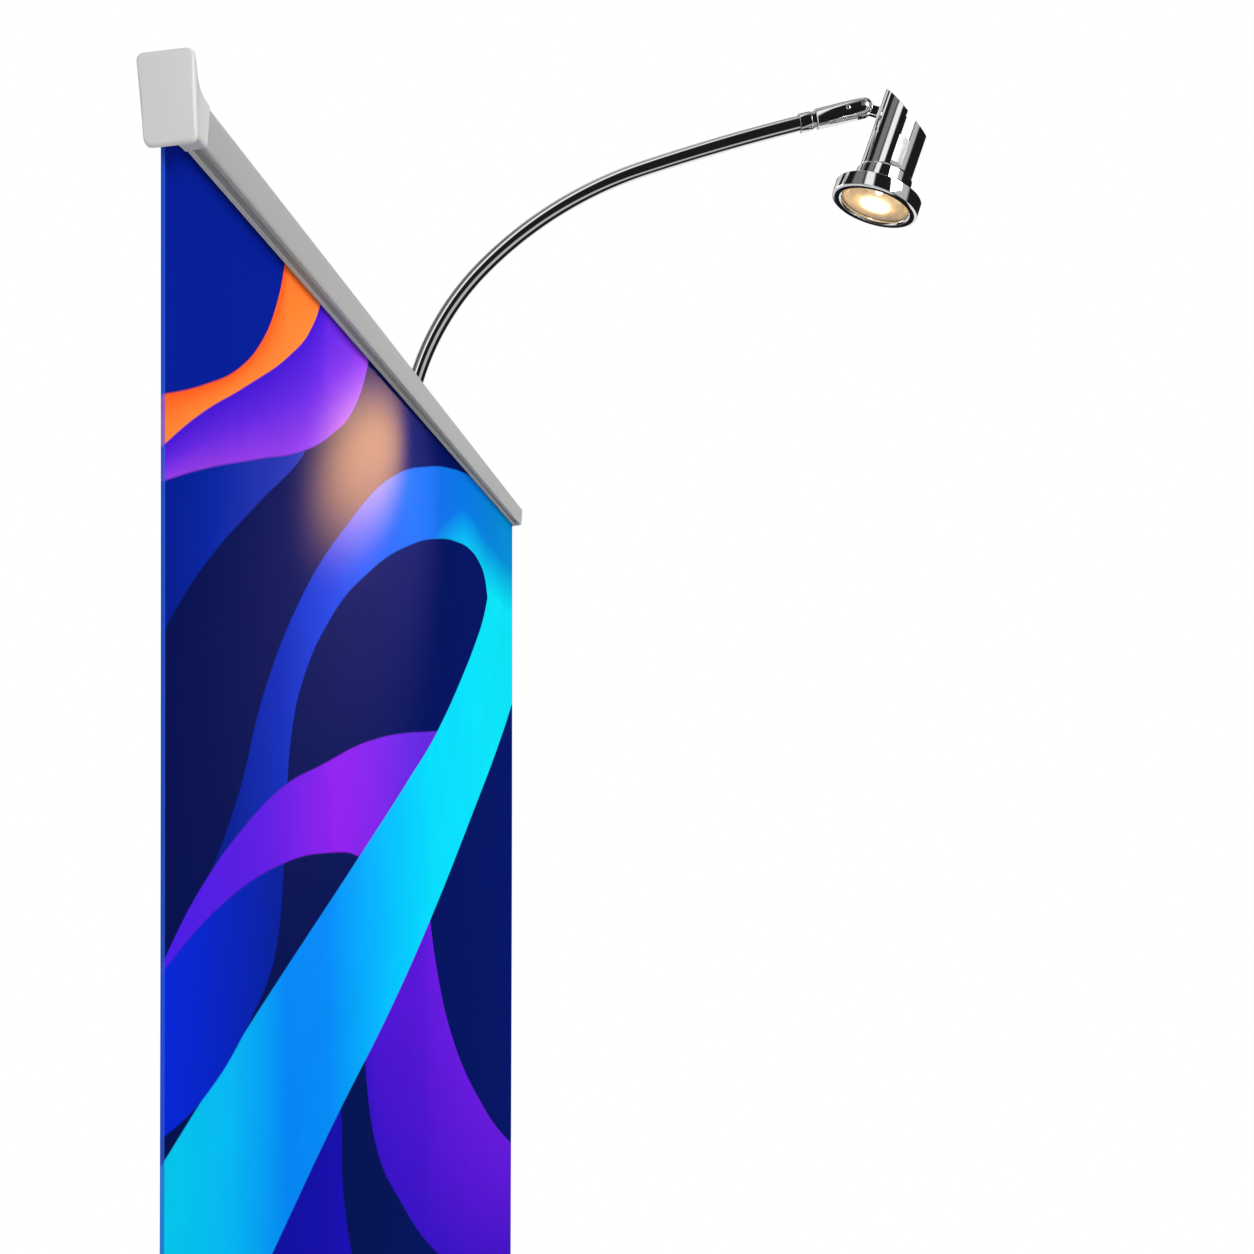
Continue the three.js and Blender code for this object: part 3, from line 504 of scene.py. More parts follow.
class StandSizes(PropertyGroup):
    """Sizes that a maker would change."""
    film_thickness: length("Film thickness", "Thickness of the printed film", 0.6)
    film_curl: length("Edge curl", "How far the film's long edges curl back half way down", 2.2)
    cap_edge: length("Cap edge", "Edge radius of the rail's end block", 1.5)
    housing_cap_edge: length("Cassette cap edge", "Edge radius of the cassette's caps", 3.0)
    foot_edge: length("Foot edge", "Edge radius of the feet", 1.4)
    flutes: IntProperty(name="Flutes", description="Grip flutes round a twist lock",
                        default=16, min=6, max=32)
    flute_depth: length("Flute depth", "Depth of a twist lock's flutes", 0.9)
    arm_radius: length("Arm radius", "Radius of the lamp arm's tube", 5.2)
    facets: IntProperty(name="Facets", description="Facets round the lamp's reflector",
                        default=26, min=12, max=48)


class StageLook(PropertyGroup):
    """Light and lamp glow."""
    daylight: FloatProperty(name="Daylight", description="Even white light from all round",
                            default=0.62, min=0.0)
    key_power: FloatProperty(name="Key light", description="Power of the soft key light",
                             default=84.0, min=0.0, unit="POWER")
    lamp_glow: FloatProperty(name="Lamp glow", description="Brightness of the lit reflector",
                             default=1.0, min=0.0)


def settings():
    """The three groups of settings on the scene."""
    scene = bpy.context.scene
    return scene.stand_finishes, scene.stand_sizes, scene.stand_stage


# ---- cassette -------------------------------------------------------------------------------

def housing_outline(inset):
    """The cassette's section: a box of (y, z) with a large front curve."""
    front, back = HOUSING[0].y, HOUSING[1].y
    bottom, top = HOUSING[0].z, HOUSING[1].z
    return rounded([(front + inset, bottom + inset, 5 - min(inset, 2)),
                    (back - inset, bottom + inset, 5 - min(inset, 2)),
                    (back - inset, top - inset, max(8 - inset, 1.5)),
                    (front + inset, top - inset, max(24 - inset, 1.5))], 14)


def split_at_slot(outline, half, top):
    """Opens an outline at the top between y = -half and y = half: it runs from the front
    side of the slot all the way round to its back side."""
    on_top = np.abs(outline[:, 1] - top) < 0.02
    start = int(np.flatnonzero(on_top & (outline[:, 0] < 0))[0])
    rolled = np.roll(outline, -start, 0)
    return np.concatenate([[[-half, top]], rolled, [[half, top]]])


class STAND_OT_cassette(Operator):
    """Cassette housing, its slot trim and its two end caps"""
    bl_idname = "stand.cassette"
    bl_label = "Cassette"

    def execute(self, context):
        sizes = settings()[1]
        top = HOUSING[1].z
        wall = 2.4
        slot_half = 3.0
        outer = split_at_slot(housing_outline(0), slot_half, top)
        inner = split_at_slot(housing_outline(wall), slot_half, top - wall)
        section = np.concatenate([outer, inner[::-1]])
        housing = solid("cassette_housing", [(along_x(section, [-END, END]), False)],
                        "anodised_x", 25)
        settle(housing, "base", "anodised", "base_housing")

        lips = []
        for side in (-1, 1):
            lip = np.array([(3.3, top + 0.5), (3.3, top - wall - 1), (2.0, top - wall - 1),
                            (1.8, top + 0.3), (2.3, top + 1.1), (6.0, top + 1.0),
                            (6.4, top + 0.4), (6.0, top + 0.05), (3.3, top + 0.05)])
            lips.append((along_x(lip * [side, 1], [-END + 0.5, END - 0.5]), False))
        settle(solid("cassette_slot_trim", lips, "dark_plastic"), "base", "dark_plastic")

        edge = sizes.housing_cap_edge / MM
        roll = np.linspace(0, math.pi / 2, 7)
        for side, name, node in ((1, "cassette_cap_right", "base_cap_right"),
                                 (-1, "cassette_cap_left", "base_cap_left")):
            inner_x = END + FIT
            depth = 10.0
            proud = 1.4  # how far the cap stands out past the housing's section
            steps = [(inner_x, 0.4), (inner_x + 0.4, 0.0)]
            steps += [(inner_x + depth - edge + edge * math.sin(t),
                       edge * (1 - math.cos(t))) for t in roll]
            steps += [(inner_x + depth, edge + 3.0), (inner_x + depth - 0.9, edge + 4.2),
                      (inner_x + depth - 0.9, edge + 9.0)]
            rings = np.concatenate([along_x(housing_outline(inset - proud), [side * x])
                                    for x, inset in steps])
            cap = solid(name, [(rings, False)], "dark_plastic", 40)
            # height from the roller's axis, radius, and where each bore starts and stops:
            # the axle's, and on the right the transport pin's
            bores = [(0.0, 4.3, -1.0, 5.3)]
            if side > 0:
                bores.append((-10.0, 3.4, -2.0, 12.0))
            cutters = []
            for drop, radius, start, stop in bores:
                hole = turned([(0, start), (radius, start), (radius, stop), (0, stop)], 40)
                hole = lying_x(hole) * [side, 1, 1]
                hole = shift(hole, side * inner_x, ROLLER_Y, ROLLER_Z + drop)
                cutters.append(solid("bore", [(hole, False)], "dark_plastic"))
            carve(cap, cutters)
            settle(cap, "base", "dark_plastic", node)
            screws = []
            for y, z in ((-32, 30), (30, 30), (30, 74)):  # three corners of the cap
                rings = turned(rounded([(0.0, 0.9, 0), (1.6, 0.85, 0.3), (3.6, 0.0, 0.6),
                                        (3.6, -0.6, 0), (0.0, -0.6, 0)], 4), 32)
                rings = lying_x(rings) * [side, 1, 1]
                screws.append((shift(rings, side * (inner_x + depth - 0.6), y, z), False))
            made = solid(name + "_screws", screws, "steel")
            settle(made, "base", "steel")
        return {"FINISHED"}


class STAND_OT_feet(Operator):
    """Swivel feet, their rubber pads, the centre pad and the transport pin"""
    bl_idname = "stand.feet"
    bl_label = "Feet and pin"

    def execute(self, context):
        sizes = settings()[1]
        for side, turn in (("left", -1), ("right", 1)):
            low, high = box_of(f"foot_{side}")
            centre = np.array([(low.x + high.x) / 2, 0])
            half_w, half_l = (high.x - low.x) / 2, (high.y - low.y) / 2
            outline = rounded([(-half_w, -half_l, 12), (half_w, -half_l, 12),
                               (half_w, half_l, 12), (-half_w, half_l, 12)], 10) + centre
            bolt_hole = circle(4.3, 40) + centre
            mesh = plate(outline, [bolt_hole], low.z, high.z, sizes.foot_edge / MM)
            foot = show(f"swivel_foot_{side}", mesh, "anodised_z")
            well = turned([(0, -2), (8.3, -2), (8.3, 7), (0, 7)], 48)
            carve(foot, [solid("well", [(shift(well, centre[0]), False)], "rubber")])
            settle(foot, f"{side}_foot", "anodised", f"foot_{side}")
            for end in ("front", "back"):
                node = f"foot_pad_{side}_{end}"
                low, high = box_of(node)
                middle = (low + high) / 2
                half = (high.x - low.x) / 2
                plan = rounded([(-half, -half, 6), (half, -half, 6), (half, half, 6),
                                (-half, half, 6)], 6) + [middle.x, middle.y]
                rows = [(low.z, -1.2), (low.z + 0.4, -0.4), (low.z + 1.0, 0), (high.z, 0)]
                rings = np.stack([np.column_stack([grown(plan, inset),
                                                   np.full(len(plan), z)])
                                  for z, inset in rows])
                settle(solid(f"rubber_{node}", [(rings, False)], "rubber"),
                       f"{side}_foot", "rubber", node)

        low, high = box_of("centre_pad")
        radius = high.x
        tread = [(0, low.z), (radius * 0.35, low.z), (radius * 0.35, 0.8), (radius * 0.45, 0.8),
                 (radius * 0.45, low.z), (radius * 0.7, low.z), (radius * 0.7, 0.8),
                 (radius * 0.8, 0.8), (radius * 0.8, low.z), (radius - 1, low.z),
                 (radius, 1.0), (radius - 1.5, high.z - 3), (radius - 2.5, high.z),
                 (0, high.z)]
        settle(solid("rubber_centre_pad", [(turned(tread, 72), False)], "rubber"),
               "base", "rubber", "centre_pad")

        low, high = box_of("lock_pin")
        middle = (low + high) / 2
        flat = high.x - 9
        pin = rounded([(0, low.x, 0), (3, low.x, 0.6), (3, flat - 0.6, 0), (7, flat - 0.6, 0.8),
                       (7, high.x - 1.5, 1.5), (4.5, high.x, 1.5), (0, high.x, 0)], 5)

        def grip(turn, height, radius):
            """Twelve shallow grip ribs round the head."""
            return np.where((radius > 6.5) & (height > flat), 0.35, 0) * (
                1 + np.cos(12 * turn)) / 2

        rings = lying_x(turned(pin, 72, grip))
        settle(solid("transport_pin", [(shift(rings, 0, middle.y, middle.z), False)],
                     "rubber"), "transport_pin", "rubber", "lock_pin")
        return {"FINISHED"}


# ---- pole -----------------------------------------------------------------------------------

class STAND_OT_pole(Operator):
    """Pole socket, three tubes, two twist locks and the top hook"""
    bl_idname = "stand.pole"
    bl_label = "Telescopic pole"

    def execute(self, context):
        sizes = settings()[1]
        tube_wall = 1.2
        for name, node, body, (low, high) in (
                ("pole_tube_lower", "pole_lower", "base", POLE[0]),
                ("pole_tube_middle", "pole_middle", "middle_pole", POLE[1]),
                ("pole_tube_upper", "pole_upper", "upper_pole", POLE[2])):
            radius = (high.x - low.x) / 2
            inner = radius - tube_wall
            wall = rounded([(inner, low.z, 0.25), (radius, low.z, 0.4),
                            (radius, high.z, 0.4), (inner, high.z, 0.25)], 3)
            rings = shift(turned(wall, 72), 0, POLE_Y)
            settle(solid(name, [(rings, True)], "anodised_z"), body, "anodised", node)

        low, high = box_of("pole_socket")
        radius = (high.x - low.x) / 2
        bore = radius - 3
        floor = low.z + 3
        cup = rounded([(0, low.z, 0), (radius, low.z, 0.6), (radius - 0.2, low.z + 8, 0.3),
                       (radius - 0.9, low.z + 8.4, 0.3), (radius - 0.9, high.z - 7, 0.3),
                       (radius, high.z - 6.4, 0.4), (radius, high.z - 1.6, 0.5),
                       (radius - 1.2, high.z, 0.5), (bore, high.z, 0.2), (bore, floor, 0),
                       (0, floor, 0)], 4)
        settle(solid("pole_cup", [(shift(turned(cup, 72), 0, POLE_Y), False)],
                     "dark_plastic"), "base", "dark_plastic", "pole_socket")

        for name, node, body, tube in (
                ("twist_grip_lower", "twist_lock_lower", "lower_twist_lock", 0),
                ("twist_grip_upper", "twist_lock_upper", "upper_twist_lock", 1)):
            low, high = box_of(node)
            outer = (high.x - low.x) / 2
            grip = (POLE[tube][1].x - POLE[tube][0].x) / 2 + FIT
            inner = (POLE[tube + 1][1].x - POLE[tube + 1][0].x) / 2 + FIT
            shelf = high.z - 8 + FIT
            tall = np.linspace(low.z + 1.6, high.z - 5, 26)
            side = [(outer, z) for z in tall]
            ring = ([(grip, low.z), (outer - 1.2, low.z), (outer - 0.4, low.z + 0.5)] + side
                    + [(outer - 0.2, high.z - 3.9), (outer - 0.8, high.z - 2.0),
                       (outer - 2, high.z - 0.3), (outer - 2.6, high.z), (inner, high.z),
                       (inner, shelf), (grip, shelf)])
            count, depth = sizes.flutes, sizes.flute_depth / MM
            start, stop = low.z + 2.5, high.z - 8

            def flutes(turn, height, radius):
                """Round-bottomed flutes: depth times a raised cosine round the grip, fading
                at both ends with a smooth step."""
                share = np.clip((height - start) / 2.5, 0, 1) * np.clip(
                    (stop - height) / 2.5, 0, 1)
                share = share * share * (3 - 2 * share)
                wave = np.clip(np.cos(count * turn) * 0.5 + 0.5, 0, 1) ** 2
                return depth * share * wave * (radius > grip + 2)

            rings = shift(turned(ring, count * 10, flutes), 0, POLE_Y)
            settle(solid(name, [(rings, True)], "dark_plastic", 38), body,
                   "dark_plastic", node)

        low, high = box_of("pole_hook")
        radius = high.x
        cap = rounded([(0, low.z, 0), (radius, low.z, 0.5), (radius, high.z - 1, 0.6),
                       (radius - 1.4, high.z, 0.6), (0, high.z, 0)], 4)
        tongue_y = rounded([(low.y, high.z - 4.4, 0.5), (POLE_Y - 4, high.z - 4.4, 0),
                            (POLE_Y - 4, high.z - 0.02, 0), (low.y, high.z - 0.02, 0.5)], 4)
        parts = [(shift(turned(cap, 64), 0, POLE_Y), False),
                 (along_x(tongue_y, [-9, -8.6, 8.6, 9]), False)]
        settle(solid("pole_top_hook", parts, "dark_plastic"), "upper_pole",
               "dark_plastic", "pole_hook")
        return {"FINISHED"}


# ---- top rail -------------------------------------------------------------------------------

class STAND_OT_rail(Operator):
    """Top rail with its slot and grooves, the end block and the flush cap"""
    bl_idname = "stand.rail"
    bl_label = "Top rail"

    def execute(self, context):
        sizes = settings()[1]
        low, high = box_of("top_rail")

        def underside(y):
            """Height of the section's sloping underside at a depth y."""
            return -0.8 - (y - 0.2) * 2.2 / 13.8 - 0.12

        section = rounded([
            (0.2, -0.8, 0.9), (1.7, underside(1.7), 0.25), (1.7, 2.4, 0.3), (5.7, 2.4, 0.3),
            (5.7, underside(5.7), 0.25), (7.9, underside(7.9), 0.25), (7.9, 9, 0.1),
            (9.9, 9, 0.1), (9.9, underside(9.9), 0.25), (14, -3, 1.2), (14, 3, 0.3),
            (11.4, 3, 0.2), (11.4, 8, 0.2), (14, 8, 0.3), (14, 13, 1.5), (6, 17, 9),
            (-0.9, 14.4, 1.6), (-0.55, 9.5, 12)], 6)
        rings = on_rail(along_x(section, np.linspace(low.x, high.x, 9)))
        settle(solid("rail_extrusion", [(rings, False)], "anodised_x", 28), "upper_pole",
               "anodised", "top_rail")

        # End block: its face outline shrinks towards the rail's own section. Each is a
        # distance from the centre at every angle, and share is how far it has changed over.
        centre = np.array([6.0, 7.0])
        sides = 144
        turns = np.linspace(0, 2 * math.pi, sides, endpoint=False) + 0.01
        face = reach(rounded([(-6.4, -10.6, 3), (13.8, -12.2, 3), (16.9, 22.6, 3),
                              (-5.2, 24.3, 3)], 10), centre, turns)
        neck = reach(grown(rail_skin(10), 0.8), centre, turns)
        edge = sizes.cap_edge / MM
        roll = np.linspace(0, math.pi / 2, 7)
        rows = [(edge * (1 - math.cos(t)), -edge * (1 - math.sin(t)), 0.0) for t in roll]
        places, ease = eased([(1.6, 0, 0), (4, 0, 0.13), (7, 0, 0.37), (10, 0, 0.57),
                              (14, 0, 0.77), (19, 0, 0.93), (25, 0, 1)], 22)
        rows += [(x, 0.0, e) for x, e in zip(places, ease[:, 1])]
        rings = []
        for x, inset, share in rows:
            radius = face * (1 - share) + neck * share + inset
            rings.append(np.column_stack([np.full(sides, x - END),
                                          centre[0] + radius * np.cos(turns),
                                          centre[1] + radius * np.sin(turns)]))
        block = solid("rail_end_block", [(on_rail(np.array(rings)), False)], "grey_plastic", 45)
        pocket = on_rail(along_x(grown(rail_skin(), FIT), [low.x - FIT, 0]))
        # the film's own way in from below, 2 mm wide
        gate = np.array([(-1.0, -30), (1.0, -30), (1.0, 9), (-1.0, 9)])
        gate = along_x(gate + [0, RAIL_Z], [-HALF_WIDTH - FIT, 0])
        carve(block, [solid("pocket", [(pocket, False)], "rubber"),
                      solid("gate", [(gate, False)], "rubber")])
        settle(block, "upper_pole", "cap_plastic", "rail_cap_left")

        skin = grown(rail_skin(), 0.4)
        steps = [(high.x + FIT, -0.3), (high.x + 0.6, 0), (END - 0.8, 0), (END - 0.25, -0.25),
                 (END, -0.8)]
        rings = np.concatenate([on_rail(along_x(grown(skin, inset), [x]))
                                for x, inset in steps])
        flush = solid("rail_flush_cap", [(rings, False)], "grey_plastic", 35)
        gate = np.array([(-1.0, -6), (1.0, -6), (1.0, 9), (-1.0, 9)])
        gate = along_x(gate + [0, RAIL_Z], [0, HALF_WIDTH + FIT])
        carve(flush, [solid("gate", [(gate, False)], "rubber")])
        settle(flush, "upper_pole", "cap_plastic", "rail_cap_right")
        return {"FINISHED"}


# ---- graphic --------------------------------------------------------------------------------

# The print's coordinates: across is 0 to 1 over the film's 850 mm, and down is 0 to 1 from
# 100 mm above the rail's lip to 800 mm below it.
ACROSS, ABOVE, DOWN = 850.0, 100.0, 900.0
LIP_DROP = 2.2  # the lip's place below the rail's front bead
FLIP = 1980.0  # below half of this the design is repeated, turned half round
TAIL_TOP, TAIL_FOOT = 400, 745

# The printed edges, as (across, below the lip) points. The tail's two are sides.

EDGES = {
    "orange_top": [(0, 99), (41, 84), (80, 66), (108, 46), (126, 26), (140, 0), (150, -40)],
    "orange_foot": [(0, 118), (36, 97), (87, 72), (148, 40), (180, 18), (200, -5), (215, -40)],
    "violet_foot": [(0, 131), (36, 119), (106, 99), (163, 83), (214, 63), (264, 34), (292, 2),
                    (312, -40)],
    "blue_foot": [(0, 187), (36, 159), (106, 118), (163, 87), (175, 78), (215, 40)],
    "loop_top": [(0, 318), (36, 289), (80, 247), (108, 207), (163, 156), (253, 101), (345, 58),
                 (463, 25), (540, 10), (609, 0), (720, -13)],
    "loop_middle": [(0, 352), (60, 340), (150, 300), (300, 180), (430, 118), (520, 76),
                    (600, 54), (703, 62), (850, 66)],
    "hole_top": [(136, 300), (142, 255), (150, 222), (163, 200), (214, 160), (296, 123),
                 (400, 91), (497, 71), (560, 63), (618, 60), (660, 64), (690, 74), (704, 90),
                 (712, 110)],
    "hole_foot": [(0, 383), (80, 354), (274, 289), (400, 246), (480, 217), (596, 162),
                  (650, 132), (681, 112), (704, 90), (724, 66)],
    "loop_foot": [(0, 505), (60, 482), (122, 461), (214, 430), (345, 391), (463, 349),
                  (618, 285), (773, 217), (850, 178)],
    "lilac_top": [(0, 309), (36, 285), (93, 260), (140, 246), (197, 237), (296, 223),
                  (473, 214), (600, 212)],
    "lilac_foot": [(0, 312), (57, 294), (133, 283), (214, 283), (274, 290), (300, 300)],
    "inlet_foot": [(0, 373), (46, 367), (93, 348), (125, 326), (135, 305), (141, 280)],
    "purple_top": [(430, 250), (463, 348), (487, 389), (535, 442), (666, 530), (850, 620)],
    "purple_foot": [(280, 380), (285, 409), (308, 462), (372, 519), (497, 601), (680, 690),
                    (850, 762)],
    "tail_right": [(122, 380), (232, 420), (238, 464), (257, 511), (300, 580), (380, 660)],
    "tail_left": [(100, 430), (122, 461), (140, 540), (190, 620), (260, 690), (380, 745)],
}


def film_material():
    """Matt polyester film, digitally printed: broad ribbons with crisp printed edges on navy,
    a faint weave, and a very thin hazy laminate. Each ribbon lies between two curves of
    height over width, and a mask is the distance past a curve times a steep slope."""
    made, tree, shader = new_material("Polyester film, printed and laminated")
    chart = add_node(tree, "ShaderNodeUVMap", {"uv_map": "print"}).outputs[0]
    parts = add_node(tree, "ShaderNodeSeparateXYZ", None, {0: chart})
    raw_u, raw_v = parts.outputs[0], parts.outputs[1]  # share across, metres below the lip
    lower = maths(tree, "GREATER_THAN", raw_v, FLIP * MM / 2)
    keep = maths(tree, "SUBTRACT", 1.0, lower)
    turned_u = maths(tree, "SUBTRACT", 1.0, raw_u)
    turned_v = maths(tree, "SUBTRACT", FLIP * MM, raw_v)
    u = maths(tree, "ADD", maths(tree, "MULTIPLY", raw_u, keep),
              maths(tree, "MULTIPLY", turned_u, lower))
    depth = maths(tree, "ADD", maths(tree, "MULTIPLY", raw_v, keep),
                  maths(tree, "MULTIPLY", turned_v, lower))
    v = maths(tree, "MULTIPLY_ADD", depth, 1 / (DOWN * MM), ABOVE / DOWN)

    def edge(name):
        """How far down a printed edge is, at each place across."""
        return curve_through(tree, u, [(a / ACROSS, (d + ABOVE) / DOWN)
                                       for a, d in EDGES[name]])

    def side(name):
        """How far across a side of the tail is, at each place down."""
        return curve_through(tree, v, [((d + ABOVE) / DOWN, a / ACROSS)
                                       for a, d in EDGES[name]])

    def past(line, place=v, softness=1.0):
        """1 below a line and 0 above it, over softness millimetres."""
        gap = maths(tree, "SUBTRACT", place, line)
        return maths(tree, "MULTIPLY_ADD", gap, DOWN / softness, 0.5, True)

    def right_of(across, softness=1.0):
        """1 to the right of a place across, in millimetres."""
        gap = maths(tree, "SUBTRACT", u, across / ACROSS)
        return maths(tree, "MULTIPLY_ADD", gap, ACROSS / softness, 0.5, True)

    def both(*masks):
        """1 where every mask is 1."""
        result = masks[0]
        for mask in masks[1:]:
            result = maths(tree, "MULTIPLY", result, mask)
        return result

    def other(mask):
        """1 where a mask is 0."""
        return maths(tree, "SUBTRACT", 1.0, mask)

    lines = {name: edge(name) for name in EDGES if not name.startswith("tail")}

    def share(top, foot):
        """0 at one edge and 1 at the other."""
        whole = maths(tree, "MAXIMUM", maths(tree, "SUBTRACT", foot, top), 0.004)
        return maths(tree, "DIVIDE", maths(tree, "SUBTRACT", v, top), whole, 0, True)

    # navy ground, royal at the top left
    ground = ramp(tree, raw_u, [(0.0, "010d48"), (0.25, "01114f"), (0.6, "011260"),
                                (1.0, "01146a")])
    royal = both(other(past(lines["orange_top"], softness=3.0)), other(right_of(160, 60)))
    ground = mixed(tree, royal, ground, linear("021a8a"))

    # purple ribbon that leaves to the lower right
    purple = ramp(tree, share(lines["purple_top"], lines["purple_foot"]),
                  [(0.0, "6718de"), (0.55, "5413d2"), (1.0, "360fc2")])
    mask = both(past(lines["purple_top"]), other(past(lines["purple_foot"])), right_of(285),
                past(lines["hole_foot"]))
    sheet = mixed(tree, mask, ground, purple)

    # small deep-blue tail under the loop: its sides are places across over height
    in_tail = both(past(side("tail_left"), u), other(past(side("tail_right"), u)),
                   other(past((TAIL_FOOT + ABOVE) / DOWN)), past((TAIL_TOP + ABOVE) / DOWN))
    sheet = mixed(tree, in_tail, sheet, ramp(tree, u, [(0.15, "0c0c98"), (0.35, "1a0cb4")]))

    # the big loop: blue above, cyan below
    above = ramp(tree, u, [(0.06, "00187c"), (0.16, "0829ac"), (0.25, "183ecc"),
                           (0.42, "1a62e6"), (0.7, "0478e6"), (0.95, "028fda")])
    under = ramp(tree, u, [(0.0, "00bade"), (0.08, "01aee6"), (0.17, "0080ea"),
                           (0.25, "0186ee"), (0.38, "01b4f8"), (0.55, "02dafb"),
                           (0.85, "06e6fa")])
    loop = mixed(tree, past(lines["loop_middle"], softness=46), above, under)
    hole = both(past(lines["hole_top"]), other(past(lines["hole_foot"])))
    left = both(past(lines["lilac_top"]), other(past(lines["hole_foot"])), other(right_of(300)))
    mask = both(past(lines["loop_top"]), other(past(lines["loop_foot"])),
                other(maths(tree, "MAXIMUM", hole, left)))
    sheet = mixed(tree, mask, sheet, loop)

    # lilac ribbon across the loop, and the blue inlet under it
    mask = both(past(lines["lilac_top"]), other(past(lines["lilac_foot"])),
                other(past(lines["hole_foot"])), other(right_of(490)))
    inlet = both(past(lines["lilac_foot"]), other(past(lines["inlet_foot"])),
                 other(right_of(141)))
    sheet = mixed(tree, inlet, sheet, ramp(tree, u, [(0.02, "0222c6"), (0.15, "001d92")]))
    long_lilac = both(past(lines["lilac_top"]), other(past(lines["hole_foot"])), right_of(272),
                      other(right_of(600)))
    lilac = ramp(tree, u, [(0.0, "4319d5"), (0.13, "5719d3"), (0.27, "871ddf"),
                           (0.47, "6427dc")])
    sheet = mixed(tree, maths(tree, "MAXIMUM", mask, long_lilac), sheet, lilac)

    # blue, violet and orange ribbons at the top left
    mask = both(past(lines["violet_foot"]), other(past(lines["blue_foot"])),
                other(right_of(171)))
    sheet = mixed(tree, mask, sheet, ramp(tree, u, [(0.0, "011880"), (0.06, "012195"),
                                                    (0.2, "2434a4")]))
    violet = ramp(tree, share(lines["orange_foot"], lines["violet_foot"]),
                  [(0.0, "3a12c0"), (0.5, "5a22cc"), (1.0, "8436d2")])
    mask = both(past(lines["orange_foot"]), other(past(lines["violet_foot"])))
    sheet = mixed(tree, mask, sheet, violet)
    orange = ramp(tree, share(lines["orange_top"], lines["orange_foot"]),
                  [(0.0, "f1531c"), (0.5, "f66f29"), (1.0, "fa7d32")])
    mask = both(past(lines["orange_top"]), other(past(lines["orange_foot"])))
    sheet = mixed(tree, mask, sheet, orange)

    # painted highlight: a paler blue line along the long edges stands in for the light caught by
    # the film's curled edge
    margin = 2.6 / ACROSS
    painted_edge_highlight = maths(tree, "MAXIMUM",
                 maths(tree, "LESS_THAN", raw_u, margin),
                 maths(tree, "GREATER_THAN", raw_u, 1 - margin))
    sheet = mixed(tree, maths(tree, "MULTIPLY", painted_edge_highlight, 0.75), sheet, linear("2450be"))

    place = add_node(tree, "ShaderNodeTexCoord").outputs["Object"]
    cloudy = noise(tree, place, 0.05, 3.0, 0.6)
    grain = noise(tree, place, 0.0012, 2.0, 0.7)
    tint = mixed(tree, cloudy, (0.9, 0.9, 0.9, 1), (1.06, 1.06, 1.06, 1))
    sheet = mixed(tree, 1.0, sheet, tint, "MULTIPLY")
    speck = mixed(tree, grain, (0.93, 0.93, 0.93, 1), (1.05, 1.05, 1.05, 1))
    sheet = mixed(tree, 1.0, sheet, speck, "MULTIPLY")
    tree.links.new(sheet, shader.inputs["Base Color"])
    tree.links.new(spread(tree, grain, 0.55, 0.7), shader.inputs["Roughness"])
    # The laminate's haze is a broad, faint coat; the ink itself has almost no gloss.
    shader.inputs["Specular IOR Level"].default_value = 0.0
    shader.inputs["Coat Weight"].default_value = 0.05
    shader.inputs["Coat Roughness"].default_value = 0.9
    # The film's cloth: threads along X and along Z, coarser than real ones so that they show.
    warp, weft = (add_node(tree, "ShaderNodeTexWave",
                           {"wave_type": "BANDS", "bands_direction": direction},
                           {"Vector": place, "Scale": 350.0, "Distortion": 0.4}).outputs[1]
                  for direction in "XZ")
    cloth = maths(tree, "MULTIPLY", warp, weft)
    raised = add_node(tree, "ShaderNodeBump", None,
                      {"Height": cloth, "Strength": 0.3, "Distance": 0.00005})
    tree.links.new(raised.outputs[0], shader.inputs["Normal"])
    return made


